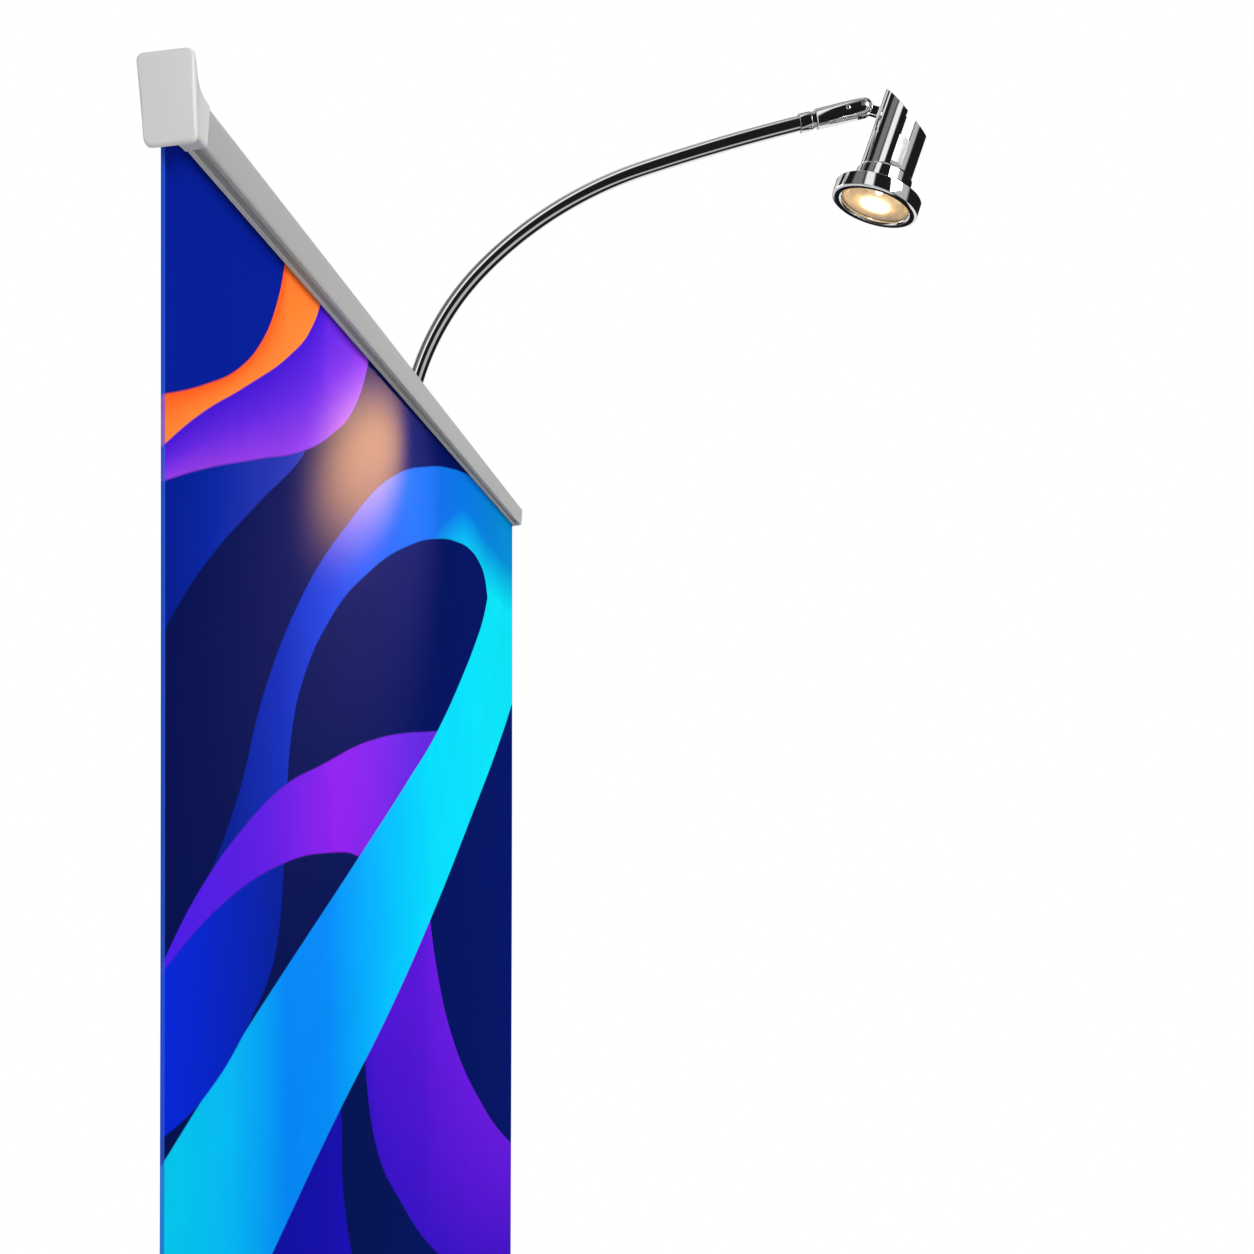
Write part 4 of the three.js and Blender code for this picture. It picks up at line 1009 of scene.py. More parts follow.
class STAND_OT_graphic(Operator):
    """Printed film between the roller and the rail"""
    bl_idname = "stand.graphic"
    bl_label = "Printed film"

    def execute(self, context):
        sizes = settings()[1]
        MATERIALS["film"] = film_material()
        # Block-out back of the film: plain pale grey, matt.
        MATERIALS["film_back"] = finish("Polyester film, block-out back", linear("b9bbbd"),
                                        0.0, (0.6, 0.75), 0.0011, 0.00004, shade=0.03)
        half = HALF_WIDTH
        thick = sizes.film_thickness / MM / 2
        across = np.linspace(-half, half, 61)
        tall = np.linspace(SHEET_FOOT, SHEET_TOP, 121)
        x, z = np.meshgrid(across, tall)
        # The long edges curl back a little between two levels: curl times (x / half width)
        # to the fourth, times the square of a half sine of the height between them.
        curl_foot, curl_top = 90, 1900
        share = np.clip((z - curl_foot) / (curl_top - curl_foot), 0, 1)
        y = sizes.film_curl / MM * (x / half) ** 4 * np.sin(math.pi * share) ** 2
        front = np.stack([x, y - thick, z], 2)
        back = np.stack([x, y + thick, z], 2)
        rows, columns = x.shape
        index = np.arange(rows * columns).reshape(rows, columns)
        a, b, c, d = index[:-1, :-1], index[:-1, 1:], index[1:, 1:], index[1:, :-1]
        face = np.stack([a, b, c, d], 2).reshape(-1, 4)
        behind = face[:, ::-1] + rows * columns
        rim = np.concatenate([index[0, :], index[1:, -1], index[-1, -2::-1],
                              index[-2:0:-1, 0]])
        nxt = np.roll(rim, -1)
        sides = np.stack([rim, rim + rows * columns, nxt + rows * columns, nxt], 1)
        faces = np.concatenate([face, behind, sides])
        mesh = bpy.data.meshes.new("printed_film")
        points = np.concatenate([front.reshape(-1, 3), back.reshape(-1, 3)]) * MM
        mesh.from_pydata(points.tolist(), [], faces.tolist())
        chart = mesh.uv_layers.new(name="print")
        corner = np.empty(len(mesh.loops), int)
        mesh.loops.foreach_get("vertex_index", corner)
        lip = (RAIL_Z - LIP_DROP) * MM
        flat = np.stack([(points[corner, 0] + half * MM) / (2 * half * MM),
                         lip - points[corner, 2]], 1)
        chart.data.foreach_set("uv", flat.ravel())
        film = show("printed_film", mesh, "film", 60)
        mesh.materials.append(MATERIALS["film_back"])
        slots = np.zeros(len(faces), np.int32)
        slots[len(face):len(face) + len(behind)] = 1
        mesh.polygons.foreach_set("material_index", slots)
        film.visible_glossy = False
        settle(film, "base", "film", "graphic_panel")
        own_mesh(film)
        return {"FINISHED"}


# ---- lamp -----------------------------------------------------------------------------------

ARM_FOOT = 1999.4
ARM_ROOT_Y = 14.7
ARM_STUB = 38.0
ARM_ARCS = [(183.5, 45.4), (271.8, 27.9), (1531.0, 4.2)]  # radius and degrees of each arc


def arm_path(count):
    """Places (y, z) and headings along the arm: a straight stub and arcs that follow on
    from each other. An arc from heading a to b moves by radius times the change of
    (-sin, cos)."""
    lengths = [ARM_STUB] + [r * math.radians(s) for r, s in ARM_ARCS]
    places = np.linspace(0, sum(lengths), count)
    y = np.full(count, ARM_ROOT_Y)
    z = np.full(count, ARM_FOOT)
    heading = np.full(count, math.pi / 2)
    gone = np.clip(places, 0, lengths[0])
    z = z + gone
    start, facing = lengths[0], math.pi / 2
    for (radius, degrees), run in zip(ARM_ARCS, lengths[1:]):
        step = np.clip(places - start, 0, run)
        now = facing - step / radius
        y = y - radius * (math.sin(facing) - np.sin(now))
        z = z + radius * (np.cos(now) - math.cos(facing))
        heading = heading - step / radius
        start += run
        facing -= math.radians(degrees)
    return y, z, heading


def tip_matrix():
    """From the arm's end, with +Z along the arm, to the stand's frame."""
    y, z, heading = (values[-1] for values in arm_path(400))
    return (Matrix.Translation((ARM_X, y, z))
            @ Matrix.Rotation(math.pi / 2 - heading, 4, "X"))


SHELL_OUTER, SHELL_MIDDLE, SHELL_INNER = 18.4, 17.8, 17.2  # radii of the shells' wall
BARREL_START = 11.8
SCREW_ALONG = BARREL_START + 22
PIVOT_ALONG = BARREL_START + 33.0
PIVOT_SIDE = SHELL_OUTER + 11.2
PIVOT_HEIGHT = 62.5
HEAD_TILT = math.radians(19)


def head_matrix():
    """From the lamp's own frame, axis on +Z and front edge at z = 0, to the stand's."""
    pivot = tip_matrix() @ Vector((0, 0, PIVOT_ALONG))
    turn = Matrix.Rotation(HEAD_TILT, 4, "X")
    return Matrix.Translation(pivot - turn @ Vector((0, PIVOT_SIDE, PIVOT_HEIGHT))) @ turn


class STAND_OT_bracket(Operator):
    """Clamp bracket on the pole and its fluted knob"""
    bl_idname = "stand.bracket"
    bl_label = "Lamp bracket"

    def execute(self, context):
        low, high = box_of("lamp_bracket")
        outline = rounded([(-15, 10, 5), (35, 4.7, 5), (35, 24.7, 5), (12, 38, 5),
                           (-15, 38, 5)], 8)
        holes = [circle(9.6, 56) + [0, POLE_Y], circle(5.5, 40) + [ARM_X, ARM_ROOT_Y]]
        mesh = plate(outline, holes, low.z, high.z, 1.2)
        bracket = show("clamp_bracket", mesh, "dark_plastic", 35)
        middle = (low.z + high.z) / 2
        stem = lying_y(turned([(0, 0), (3.3, 0), (3.3, 30), (0, 30)], 32))
        slit = np.array([(-14.6, low.z - 1), (-14.6, high.z + 1), (-8, high.z + 1),
                         (-8, low.z - 1)])
        slit = np.stack([np.column_stack([slit[:, 0], np.full(4, y), slit[:, 1]])
                         for y in (23.2, 24.8)])
        slit[:, :2, 0] = -16.0
        carve(bracket, [
            solid("stem", [(shift(stem, 0, POLE_Y + 7.3, middle), False)], "rubber"),
            solid("slit", [(slit, False)], "rubber")])
        settle(bracket, "upper_pole", "dark_plastic", "lamp_bracket")

        low, high = box_of("bracket_knob")
        start = low.y
        knob = rounded([(0, 0, 0), (3, 0, 0), (3, 6.2, 0.2), (6, 6.2, 0.4), (11, 8.6, 0.8),
                        (11, 17, 1.0), (8.8, 18.7, 1.0), (6, 18.7, 0.3), (5.6, 18.1, 0.2),
                        (0, 18.1, 0)], 5)

        def lobes(turn, height, radius):
            """Six finger hollows round the grip, deepest at the rim."""
            hollow = np.clip(np.cos(6 * turn), 0, 1) ** 2 * 2.1
            return hollow * np.clip((radius - 5.5) / 5.5, 0, 1) * (height > 6)

        rings = lying_y(turned(knob, 144, lobes))
        settle(solid("clamp_knob_grip", [(shift(rings, 0, start, middle), False)],
                     "dark_plastic", 40), "clamp_knob", "dark_plastic", "bracket_knob")
        return {"FINISHED"}


class STAND_OT_arm(Operator):
    """Curved arm, its collar and the barrel with its pin and screw"""
    bl_idname = "stand.arm"
    bl_label = "Lamp arm"

    def execute(self, context):
        sizes = settings()[1]
        y, z, heading = arm_path(150)
        ring = circle(sizes.arm_radius / MM, 56)
        across = np.stack([np.zeros_like(y), np.sin(heading), np.cos(heading)], 1)
        centre = np.stack([np.full_like(y, ARM_X), y, z], 1)
        rings = (centre[:, None] + ring[None, :, :1] * np.array([1, 0, 0])
                 + ring[None, :, 1:] * across[:, None])
        settle(solid("arm_tube", [(rings, False)], "chrome"), "arm", "chrome", "lamp_arm")

        matrix = tip_matrix()
        collar = rounded([(0, 0.3, 0), (6.3, 0.3, 0.35), (6.3, 8.5, 0.25), (5.7, 8.9, 0.1),
                          (5.7, 11.5, 0), (0, 11.5, 0)], 5)
        settle(solid("arm_collar_turned", [(moved(turned(collar, 64), matrix), False)],
                     "chrome"), "arm", "chrome", "arm_collar")

        dome = [(6.8 * math.cos(t), PIVOT_ALONG + 6.8 * math.sin(t))
                for t in np.linspace(0, math.pi / 2, 14)]
        body = [(0, BARREL_START), (6.1, BARREL_START), (6.6, BARREL_START + 0.25),
                (6.8, BARREL_START + 0.8)] + dome
        barrel = solid("barrel_turned", [(moved(turned(body, 72), matrix), False)], "chrome")
        slot = np.array([(-2.4, -8.0), (2.4, -8.0), (2.4, 8.0), (-2.4, 8.0)])
        slot = np.stack([np.column_stack([slot, np.full(4, h)])
                         for h in (PIVOT_ALONG - 5.0, PIVOT_ALONG + 8.0)])
        hole = shift(lying_x(turned([(0, -8), (1.9, -8), (1.9, 8), (0, 8)], 32)),
                     z=PIVOT_ALONG)
        nick = shift(lying_x(turned([(0, 4.8), (1.9, 4.8), (1.9, 8.8), (0, 8.8)], 32))
                     * [-1, 1, 1], z=SCREW_ALONG)
        carve(barrel, [solid("slot", [(moved(slot, matrix), False)], "chrome"),
                       solid("hole", [(moved(hole, matrix), False)], "chrome"),
                       solid("nick", [(moved(nick, matrix), False)], "chrome")])
        settle(barrel, "barrel", "chrome", "lamp_barrel")

        pin = rounded([(0, -6.5, 0), (1.6, -6.5, 0.3), (1.6, 6.5, 0.3), (0, 6.5, 0)], 4)
        pin = shift(lying_x(turned(pin, 32)), z=PIVOT_ALONG)
        settle(solid("barrel_pin", [(moved(pin, matrix), False)], "steel"), "barrel", "steel",
               "pivot_pin")
        screw = rounded([(0, 5.1, 0), (1.6, 5.1, 0), (1.6, 7.1, 0.3), (0.9, 7.5, 0.2),
                         (0.7, 7.2, 0), (0, 7.2, 0)], 4)
        screw = shift(lying_x(turned(screw, 32)) * [-1, 1, 1], z=SCREW_ALONG)
        settle(solid("barrel_dot_screw", [(moved(screw, matrix), False)], "chrome"), "barrel",
               "chrome", "barrel_screw")
        return {"FINISHED"}


def glow_materials(look):
    """The lit lamp: the bright capsule, the reflector facets and the clear front glass, with
    painted glow on the facets and the glass.
    """
    # Faceted glass reflector with a vapour-deposited coat. Its glow is painted light: an
    # emission, white hot round the capsule and cream to gold at the rim, stands in for the
    # capsule's light on the dish, and each facet is painted a little lighter or darker than the
    # next as painted reflections.
    made, tree, shader = new_material("Faceted reflector, coated glass, painted glow")
    tone = face_tag(tree, "facet")
    outwards = face_tag(tree, "rim")
    painted_glow_bright = ramp(tree, outwards, [(0.0, "ffffff"), (0.3, "fff8e4"), (0.62, "ffeab8"),
                                 (1.0, "f0bd6c")])
    painted_glow_dim = ramp(tree, outwards, [(0.0, "fff3d0"), (0.45, "c08c48"), (1.0, "5f3a16")])
    tree.links.new(mixed(tree, tone, painted_glow_dim, painted_glow_bright), shader.inputs["Emission Color"])
    tree.links.new(maths(tree, "MULTIPLY", face_tag(tree, "lit"), look.lamp_glow),
                   shader.inputs["Emission Strength"])
    shader.inputs["Base Color"].default_value = linear("5a4a30")
    shader.inputs["Metallic"].default_value = 1.0
    tree.links.new(spread(tree, tone, 0.08, 0.16), shader.inputs["Roughness"])
    MATERIALS["reflector"] = made

    # Quartz capsule, lit: its glow wanders a little between white and cream.
    made, tree, shader = new_material("Quartz capsule, lit")
    place = add_node(tree, "ShaderNodeTexCoord").outputs["Object"]
    heat = noise(tree, place, 0.004, 1.0)
    tree.links.new(mixed(tree, heat, linear("fff6e2"), linear("ffffff")),
                   shader.inputs["Emission Color"])
    shader.inputs["Emission Strength"].default_value = 4.0 * look.lamp_glow
    shader.inputs["Roughness"].default_value = 0.1
    MATERIALS["capsule"] = made

    # Clear soda-lime front glass: it reflects at grazing angles and lets the light through.
    made, tree, shader = new_material("Soda-lime glass, clear")
    place = add_node(tree, "ShaderNodeTexCoord").outputs["Object"]
    tree.links.new(spread(tree, noise(tree, place, 0.006), 0.03, 0.08),
                   shader.inputs["Roughness"])
    shader.inputs["Base Color"].default_value = linear("fff4e0")
    shader.inputs["IOR"].default_value = 1.5
    clear = add_node(tree, "ShaderNodeBsdfTransparent", None, {0: linear("fffaf0")})
    rim = add_node(tree, "ShaderNodeLayerWeight", None, {"Blend": 0.12})
    faint = maths(tree, "MULTIPLY_ADD", rim.outputs["Fresnel"], 0.5, 0.02, True)
    blend = add_node(tree, "ShaderNodeMixShader", None,
                     {0: faint, 1: clear.outputs[0], 2: shader.outputs[0]})
    # Painted light: an emission on the glass stands in for the filament's glare seen through it,
    # white in its middle and gilded at its edge.
    glare = ramp(tree, face_tag(tree, "away"), [(0.0, "ffffff"), (0.28, "fff6dc"),
                                                (0.5, "6b5934"), (0.7, "0c0905"),
                                                (1.0, "000000")])
    shine = add_node(tree, "ShaderNodeEmission", None,
                     {"Color": glare, "Strength": 1.1 * look.lamp_glow})
    both = add_node(tree, "ShaderNodeAddShader", None,
                    {0: blend.outputs[0], 1: shine.outputs[0]})
    output = next(n for n in tree.nodes if n.type == "OUTPUT_MATERIAL")
    tree.links.new(both.outputs[0], output.inputs["Surface"])
    MATERIALS["glass"] = made


CUT_HIGH, CUT_LOW, CUT_LEAN = 80.0, 56.0, 0.37
SHELL_FOOT = 23.3


def shell(first, last):
    """Part of a tube between two angles, as loops round its wall: the top edge follows a
    slanting cut, from CUT_LOW at -Y to CUT_HIGH at +Y, that also rises by CUT_LEAN over +X,
    and the corners of the wall are eased."""
    outer, inner, foot, ease = SHELL_OUTER, SHELL_INNER, SHELL_FOOT, 0.25
    rings = []
    steps = np.linspace(0, 1, 14)
    for turn in np.linspace(first, last, 72):
        across = math.sin(turn) * SHELL_MIDDLE + SHELL_OUTER
        level = (CUT_LOW + (CUT_HIGH - CUT_LOW) * across / (2 * SHELL_OUTER)
                 + CUT_LEAN * SHELL_MIDDLE * math.cos(turn))
        loop = [(outer - ease, foot), (outer, foot + ease)]
        loop += [(outer, foot + ease + (level - foot - 2 * ease) * s) for s in steps[1:-1]]
        loop += [(outer, level - ease), (outer - ease, level), (inner + ease, level),
                 (inner, level - ease)]
        loop += [(inner, foot + ease + (level - foot - 2 * ease) * s)
                 for s in steps[1:-1][::-1]]
        loop += [(inner, foot + ease), (inner + ease, foot)]
        loop = np.array(loop)
        rings.append(np.column_stack([loop[:, 0] * math.cos(turn),
                                      loop[:, 0] * math.sin(turn), loop[:, 1]]))
    return np.array(rings)


class STAND_OT_lamp(Operator):
    """Lamp head: ring, lens, faceted reflector, neck, holder, capsule, shells and lug"""
    bl_idname = "stand.lamp"
    bl_label = "Lamp head"

    def execute(self, context):
        sizes, look = settings()[1:]
        glow_materials(look)
        matrix = head_matrix()

        def turn(name, profile, material, slot, node, segments=96, closed=False, steps=5):
            """A turned piece of the head. A closed profile is a ring with a hole."""
            rings = moved(turned(rounded(profile, steps), segments), matrix)
            return settle(solid(name, [(rings, closed)], material), "head", slot, node)

        turn("lamp_bezel", [(25.3, 0.2, 0.2), (28.6, 0.0, 0.5), (30.5, 0.5, 0.5),
                            (30.5, 9.6, 0.5), (29.9, 10, 0.3), (21.3, 10, 0.2),
                            (21.3, 8.5, 0), (24.1, 6, 0.3), (24.1, 1.0, 0.2)],
             "chrome", "chrome", "lamp_ring", 128, True)
        glass_radius = 23.8
        bowed = [(r, 0.6 + 0.15 * (r / 20) ** 2, 0) for r in range(2, 22, 2)]
        glass = turn("lamp_front_glass",
                     [(0, 0.6, 0)] + bowed + [(22.8, 0.95, 0.3), (glass_radius, 1.4, 0.2),
                                              (glass_radius, 2.5, 0.2), (0, 2.2, 0)],
                     "glass", "glass", "lamp_lens", 96)
        places = np.empty(len(glass.data.vertices) * 3)
        glass.data.vertices.foreach_get("co", places)
        places = places.reshape(-1, 3) / MM
        own = np.array(matrix.inverted())
        own = places @ own[:3, :3].T + own[:3, 3]
        layer = glass.data.attributes.new("away", "FLOAT", "POINT")
        out = np.hypot(own[:, 0], own[:, 1]) / glass_radius
        layer.data.foreach_set("value", out.astype(np.float32))

        # Reflector: each facet is flat, between neighbouring angles and heights of the dish.
        count, rows = sizes.facets, 6
        depth, back, front = 26.0, 6.6, 22.0
        start = 2.8
        heights = np.linspace(0, 1, rows + 1)
        radii = back + (front - back) * (1 - heights) ** 0.7
        inner = turned(np.stack([radii, start + depth * heights], 1), count)
        outer = turned(np.stack([radii[::-1] + 1.1, start + depth * heights[::-1]], 1), count)
        rings = moved(np.concatenate([inner, outer]), matrix)
        dish = solid("lamp_facet_dish", [(rings, True)], "reflector", 4)
        mesh = dish.data
        # Each face keeps its distance out, its facet's tone of painted reflection, which a pair
        # of sines scatters, and whether it gets the painted glow.
        centres = np.empty(len(mesh.polygons) * 3)
        mesh.polygons.foreach_get("center", centres)
        spot = (np.array(matrix.inverted()) @ np.column_stack([
            centres.reshape(-1, 3) / MM, np.ones(len(mesh.polygons))]).T).T
        away = np.clip((np.hypot(spot[:, 0], spot[:, 1]) - back) / (front - back), 0, 1)
        angle = np.arctan2(spot[:, 1], spot[:, 0])
        cell = np.floor(angle / (2 * math.pi) * count)
        streak = np.sin(cell * 2.4) * 0.45 + np.sin(cell * 12.9898 + np.round(away * 6) * 4.1)
        tone = np.clip(0.62 + 0.5 * streak * away, 0, 1)
        # only the inside gets the painted glow: the back of the dish lies a wall further out
        up = np.clip((spot[:, 2] - start) / depth, 0, 1)
        lit = np.hypot(spot[:, 0], spot[:, 1]) < back + (front - back) * (1 - up) ** 0.7 + 0.4
        for name, values in (("facet", tone), ("rim", away), ("lit", lit)):
            layer = mesh.attributes.new(name, "FLOAT", "FACE")
            layer.data.foreach_set("value", values.astype(np.float32))
        settle(dish, "head", "reflector", "lamp_reflector")

        turn("lamp_neck_bell", [(20.4, 10.3, 0.2), (22.3, 10.3, 0.3), (22.3, 11.4, 0.3),
                                (20.6, 12.4, 1.2), (19.7, 21.8, 0.6), (18.8, 23, 0.4),
                                (16, 23, 0.2), (16, 21.5, 0.2), (19.1, 13.3, 0.5)],
             "chrome", "chrome", "lamp_neck", 112, True)
        turn("lamp_holder_body", [(0, 29.1, 0), (11.5, 29.1, 0.6), (11.5, 41.1, 0.8),
                                  (9, 43.1, 0.6), (9, 49.1, 1.0), (0, 49.1, 0)],
             "ceramic", "ceramic", "lamp_holder", 64)
        turn("lamp_capsule_bulb", [(0, 8.8, 0), (1.6, 9.2, 0.6), (3.2, 11.8, 1.2),
                                   (3.2, 21.8, 0.6), (5, 22.9, 0.3), (5, 28.8, 0), (0, 28.8, 0)],
             "capsule", "glass", "lamp_capsule", 40)

        # the split: the tall shell ends at y = -0.8 and the short one at y = -8.4
        back_from = math.asin(-0.8 / SHELL_OUTER)
        front_from = math.asin(-8.4 / SHELL_OUTER)
        for name, node, first, last in (
                ("lamp_tall_shell", "shell_back", back_from, math.pi - back_from),
                ("lamp_short_shell", "shell_front", math.pi - front_from,
                 2 * math.pi + front_from)):
            rings = moved(shell(first, last), matrix)
            settle(solid(name, [(rings, False)], "chrome", 40), "head", "chrome", node)

        turns = np.linspace(-math.pi / 2, math.pi / 2, 17)
        eye = [(PIVOT_SIDE + 4 * math.cos(t), PIVOT_HEIGHT + 4 * math.sin(t)) for t in turns]
        plan = np.array(eye + [(PIVOT_SIDE - 1.5, PIVOT_HEIGHT + 3.3),
                               (18.72, PIVOT_HEIGHT + 3.3), (18.72, PIVOT_HEIGHT - 3.3),
                               (PIVOT_SIDE - 1.5, PIVOT_HEIGHT - 3.3)])
        stations = [(-2, -0.35), (-1.65, 0), (1.65, 0), (2, -0.35)]
        rings = np.concatenate([along_x(grown(plan, inset), [x]) for x, inset in stations])
        lug = solid("lamp_lug_tongue", [(moved(rings, matrix), False)], "chrome", 30)
        hole = shift(lying_x(turned([(0, -4), (2, -4), (2, 4), (0, 4)], 32)),
                     y=PIVOT_SIDE, z=PIVOT_HEIGHT)
        carve(lug, [solid("hole", [(moved(hole, matrix), False)], "chrome")])
        settle(lug, "head", "chrome", "lamp_lug")
        return {"FINISHED"}


# ---- CAD pieces that stay --------------------------------------------------------------------

class STAND_OT_inner(Operator):
    """Finishes for the inner pieces that keep their CAD shape"""
    bl_idname = "stand.inner"
    bl_label = "Inner pieces"

    def execute(self, context):
        kept = {"roller_tube": "anodised_x", "wound_graphic": "film_back",
                "roller_plug_left": "dark_plastic", "roller_plug_right": "dark_plastic",
                "roller_axle": "steel", "recoil_spring": "spring",
                "foot_washer_left": "dark_plastic", "foot_washer_right": "dark_plastic",
                "foot_bolt_left": "steel", "foot_bolt_right": "steel"}
        for node, material in kept.items():
            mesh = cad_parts[node].data
            mesh.materials.clear()
            mesh.materials.append(MATERIALS[material])
        return {"FINISHED"}


# ---- stage ------------------------------------------------------------------------------------

# Soft boxes that the mirrors see: bearing from the front, half width, soft edge (degrees)
# and strength.
SOFT_BOXES = ((-24, 8, 7, 1.0), (58, 16, 9, 0.5), (-112, 5, 4, 0.9), (172, 14, 8, 0.9),
              (-150, 10, 8, 0.7), (-58, 10, 12, 0.2))
CEILING, UNDERFOOT, DARK_ROOM = 0.24, 0.12, 0.012  # strengths of the studio's other parts


def studio_world(look):
    """White to the eye and an even white for diffuse light. For reflections it is a studio:
    a bright ceiling and floor, a dark horizon, and tall soft boxes at a few bearings."""
    world = bpy.data.worlds.new("Studio")
    bpy.context.scene.world = world
    world.use_nodes = True
    tree = world.node_tree
    tree.nodes.clear()
    way = add_node(tree, "ShaderNodeTexCoord").outputs["Generated"]
    axes = add_node(tree, "ShaderNodeSeparateXYZ", None, {0: way})
    x, y, z = axes.outputs[0], axes.outputs[1], axes.outputs[2]

    def step(value, low, high):
        """0 at low and 1 at high, eased."""
        return add_node(tree, "ShaderNodeMapRange", {"interpolation_type": "SMOOTHSTEP"},
                        {"Value": value, "From Min": low, "From Max": high}).outputs[0]

    # bearing: 0 is towards -X, a quarter turn is towards -Y
    bearing = maths(tree, "ARCTAN2", maths(tree, "MULTIPLY", y, -1.0),
                    maths(tree, "MULTIPLY", x, -1.0))

    def box(centre, half, soft, strength):
        """A tall soft box at a bearing."""
        off = maths(tree, "ABSOLUTE", maths(tree, "SUBTRACT", bearing, math.radians(centre)))
        inside = step(off, math.radians(half + soft), math.radians(half))
        return maths(tree, "MULTIPLY", inside, strength)

    ceiling = maths(tree, "MULTIPLY", step(z, 0.8, 0.93), CEILING)
    total = maths(tree, "MAXIMUM", ceiling,
                  maths(tree, "MULTIPLY", step(z, -0.9, -0.98), UNDERFOOT))
    for centre, half, soft, strength in SOFT_BOXES:
        total = maths(tree, "MAXIMUM", total, box(centre, half, soft, strength))
    total = maths(tree, "ADD", total, DARK_ROOM)
    mirror = add_node(tree, "ShaderNodeBackground", None, {"Color": total, "Strength": 1.0})
    even = add_node(tree, "ShaderNodeBackground", None,
                    {"Color": (1.0, 1.0, 1.0, 1.0), "Strength": look.daylight})
    eye = add_node(tree, "ShaderNodeBackground", None,
                   {"Color": (1.0, 1.0, 1.0, 1.0), "Strength": 1.0})
    ray = add_node(tree, "ShaderNodeLightPath")
    lit = add_node(tree, "ShaderNodeMixShader", None,
                   {0: ray.outputs["Is Glossy Ray"], 1: even.outputs[0], 2: mirror.outputs[0]})
    whole = add_node(tree, "ShaderNodeMixShader", None,
                     {0: ray.outputs["Is Camera Ray"], 1: lit.outputs[0], 2: eye.outputs[0]})
    add_node(tree, "ShaderNodeOutputWorld", None, {"Surface": whole.outputs[0]})


def add_light(name, kind, place, target, power, tint, roll=0.0, **more):
    """A light that looks from a place to a target, in metres, rolled about its own axis."""
    data = bpy.data.lights.new(name, kind)
    data.energy = power
    data.color = linear(tint)[:3]
    for key, value in more.items():
        setattr(data, key, value)
    made = bpy.data.objects.new(name, data)
    bpy.context.scene.collection.objects.link(made)
    made.location = place
    aim = (Vector(target) - Vector(place)).to_track_quat("-Z", "Y")
    made.rotation_euler = (aim @ Quaternion((0, 0, 1), math.radians(roll))).to_euler()
    return made


LAMP_SOURCE = (0.02, -0.285, 2.17)

# The lamp's light: name, aim, power, tint, angle, height over width of its cone, roll, and
# whether it lights the ink or the haze.
LAMP_LIGHTS = (
    ("lamp_spill", (-0.16, 0.0, 2.0), 3.0, "ffe9dc", 80, 0.8, 0, True),
    ("lamp_haze", (-0.126, 0.0, 2.002), 2150.0, "ffbb5e", 33, 0.42, 8, False),
    ("lamp_halo", (-0.10, 0.0, 1.96), 260.0, "9478d0", 66, 0.6, 8, False),
)


FLOOR_RADIUS = 3400.0

# The camera stands beside the film and looks along it: place in metres, degrees turned
# towards the film from +X, focal length in millimetres, and upward shift of the frame.
CAMERA_PLACE = (-0.9042, -0.2033, 1.8253)
CAMERA_TURN = 3.77
CAMERA_LENS = 38.33
CAMERA_RISE = 0.1037


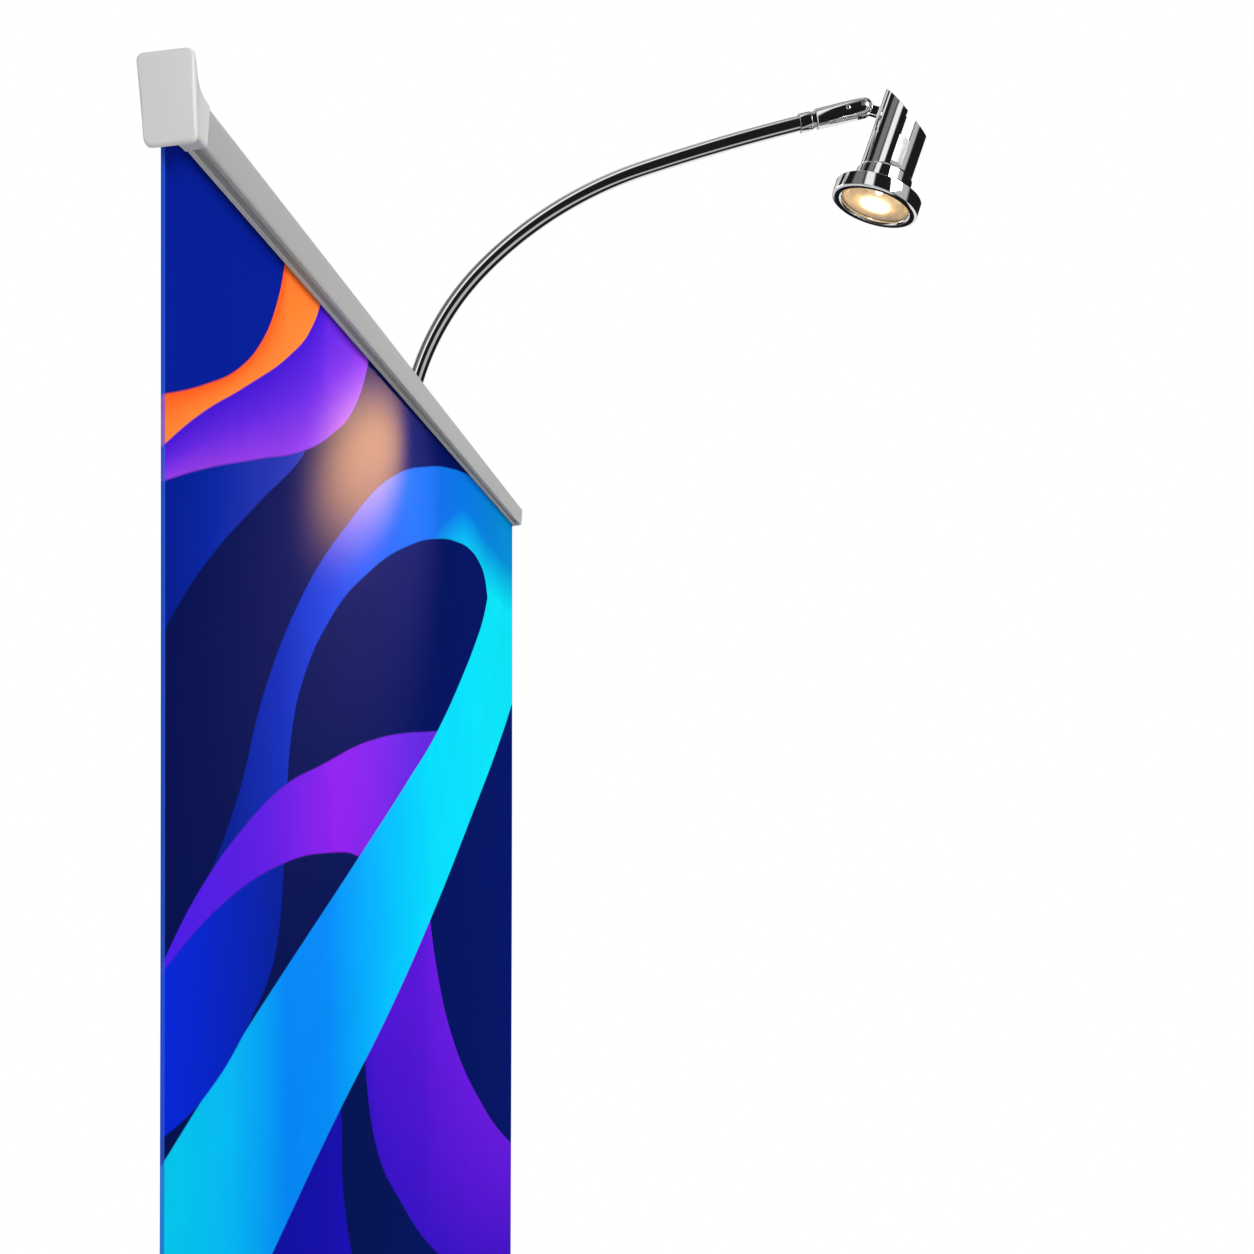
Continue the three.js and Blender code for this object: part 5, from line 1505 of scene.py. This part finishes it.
class STAND_OT_stage(Operator):
    """Pale floor, soft studio light, the lamp's own light and the camera"""
    bl_idname = "stand.stage"
    bl_label = "Stage"

    def execute(self, context):
        look = settings()[2]
        scene = context.scene
        scene.view_settings.view_transform = "Standard"
        scene.view_settings.look = "None"
        studio_world(look)

        made, tree, shader = new_material("Painted floor, pale matt")
        place = add_node(tree, "ShaderNodeTexCoord").outputs["Object"]
        tone = noise(tree, place, 0.6, 3.0)
        tree.links.new(mixed(tree, tone, linear("eeeeec"), linear("f4f4f3")),
                       shader.inputs["Base Color"])
        shader.inputs["Roughness"].default_value = 0.8
        MATERIALS["floor"] = made
        rings = np.stack([np.column_stack([circle(FLOOR_RADIUS, 128), np.full(128, z)])
                          for z in (-20.0, -0.2)])
        floor = solid("studio_floor", [(rings, False)], "floor")
        floor.visible_glossy = False

        for name, place, aim, share in (("key_left", (-2.2, -2.4, 3.3), (0, 0, 1.4), 1.0),
                                        ("fill_back", (1.6, 2.6, 2.6), (0, 0, 1.2), 0.6)):
            add_light(name, "AREA", place, aim, look.key_power * share, "ffffff",
                      shape="RECTANGLE", size=1.6, size_y=1.6)

        # The lamp's own light on the film: a broad pale spill on the ink, a warm haze in the
        # laminate with a hot middle, and a fainter violet haze round it.
        film_only = bpy.data.collections.new("film_only")
        film_only.objects.link(bpy.data.objects["printed_film"])
        for name, target, power, tint, angle, tall, roll, ink in LAMP_LIGHTS:
            light = add_light(name, "SPOT", LAMP_SOURCE, target, power, tint, roll,
                              spot_blend=1.0, spot_size=math.radians(angle),
                              shadow_soft_size=0.02)
            light.scale = (1, tall, 1)
            light.visible_diffuse = ink
            light.visible_glossy = not ink
            light.light_linking.receiver_collection = film_only

        lens = bpy.data.cameras.new("camera")
        lens.sensor_width = 36.0
        lens.lens = CAMERA_LENS
        lens.shift_y = CAMERA_RISE
        lens.clip_start = 0.02
        camera = bpy.data.objects.new("camera", lens)
        scene.collection.objects.link(camera)
        camera.location = CAMERA_PLACE
        camera.rotation_euler = (math.pi / 2, 0, math.radians(-90 + CAMERA_TURN))
        scene.camera = camera
        return {"FINISHED"}


class STAND_PT_pieces(Panel):
    """Lists the builders and their settings"""
    bl_idname = "STAND_PT_pieces"
    bl_label = "Banner stand"
    bl_space_type = "VIEW_3D"
    bl_region_type = "UI"
    bl_category = "Banner stand"

    def draw(self, context):
        column = self.layout.column()
        for operator in OPERATORS:
            column.operator(operator.bl_idname, text=operator.bl_label)
        for group in (context.scene.stand_finishes, context.scene.stand_sizes,
                      context.scene.stand_stage):
            column.separator()
            for key in type(group).__annotations__:
                column.prop(group, key)


GROUPS = {"stand_finishes": StandFinishes, "stand_sizes": StandSizes,
          "stand_stage": StageLook}
OPERATORS = (STAND_OT_cassette, STAND_OT_feet, STAND_OT_pole, STAND_OT_rail,
             STAND_OT_graphic, STAND_OT_bracket, STAND_OT_arm, STAND_OT_lamp,
             STAND_OT_inner, STAND_OT_stage)
CLASSES = tuple(GROUPS.values()) + OPERATORS + (STAND_PT_pieces,)


def register():
    for item in CLASSES:
        bpy.utils.register_class(item)
    for name, group in GROUPS.items():
        setattr(bpy.types.Scene, name, PointerProperty(type=group))


def unregister():
    for name in GROUPS:
        delattr(bpy.types.Scene, name)
    for item in reversed(CLASSES):
        bpy.utils.unregister_class(item)


def main():
    register()
    make_finishes(bpy.context.scene.stand_finishes)
    for operator in OPERATORS:
        family, name = operator.bl_idname.split(".")
        getattr(getattr(bpy.ops, family), name)()


if __name__ == "__main__":
    main()
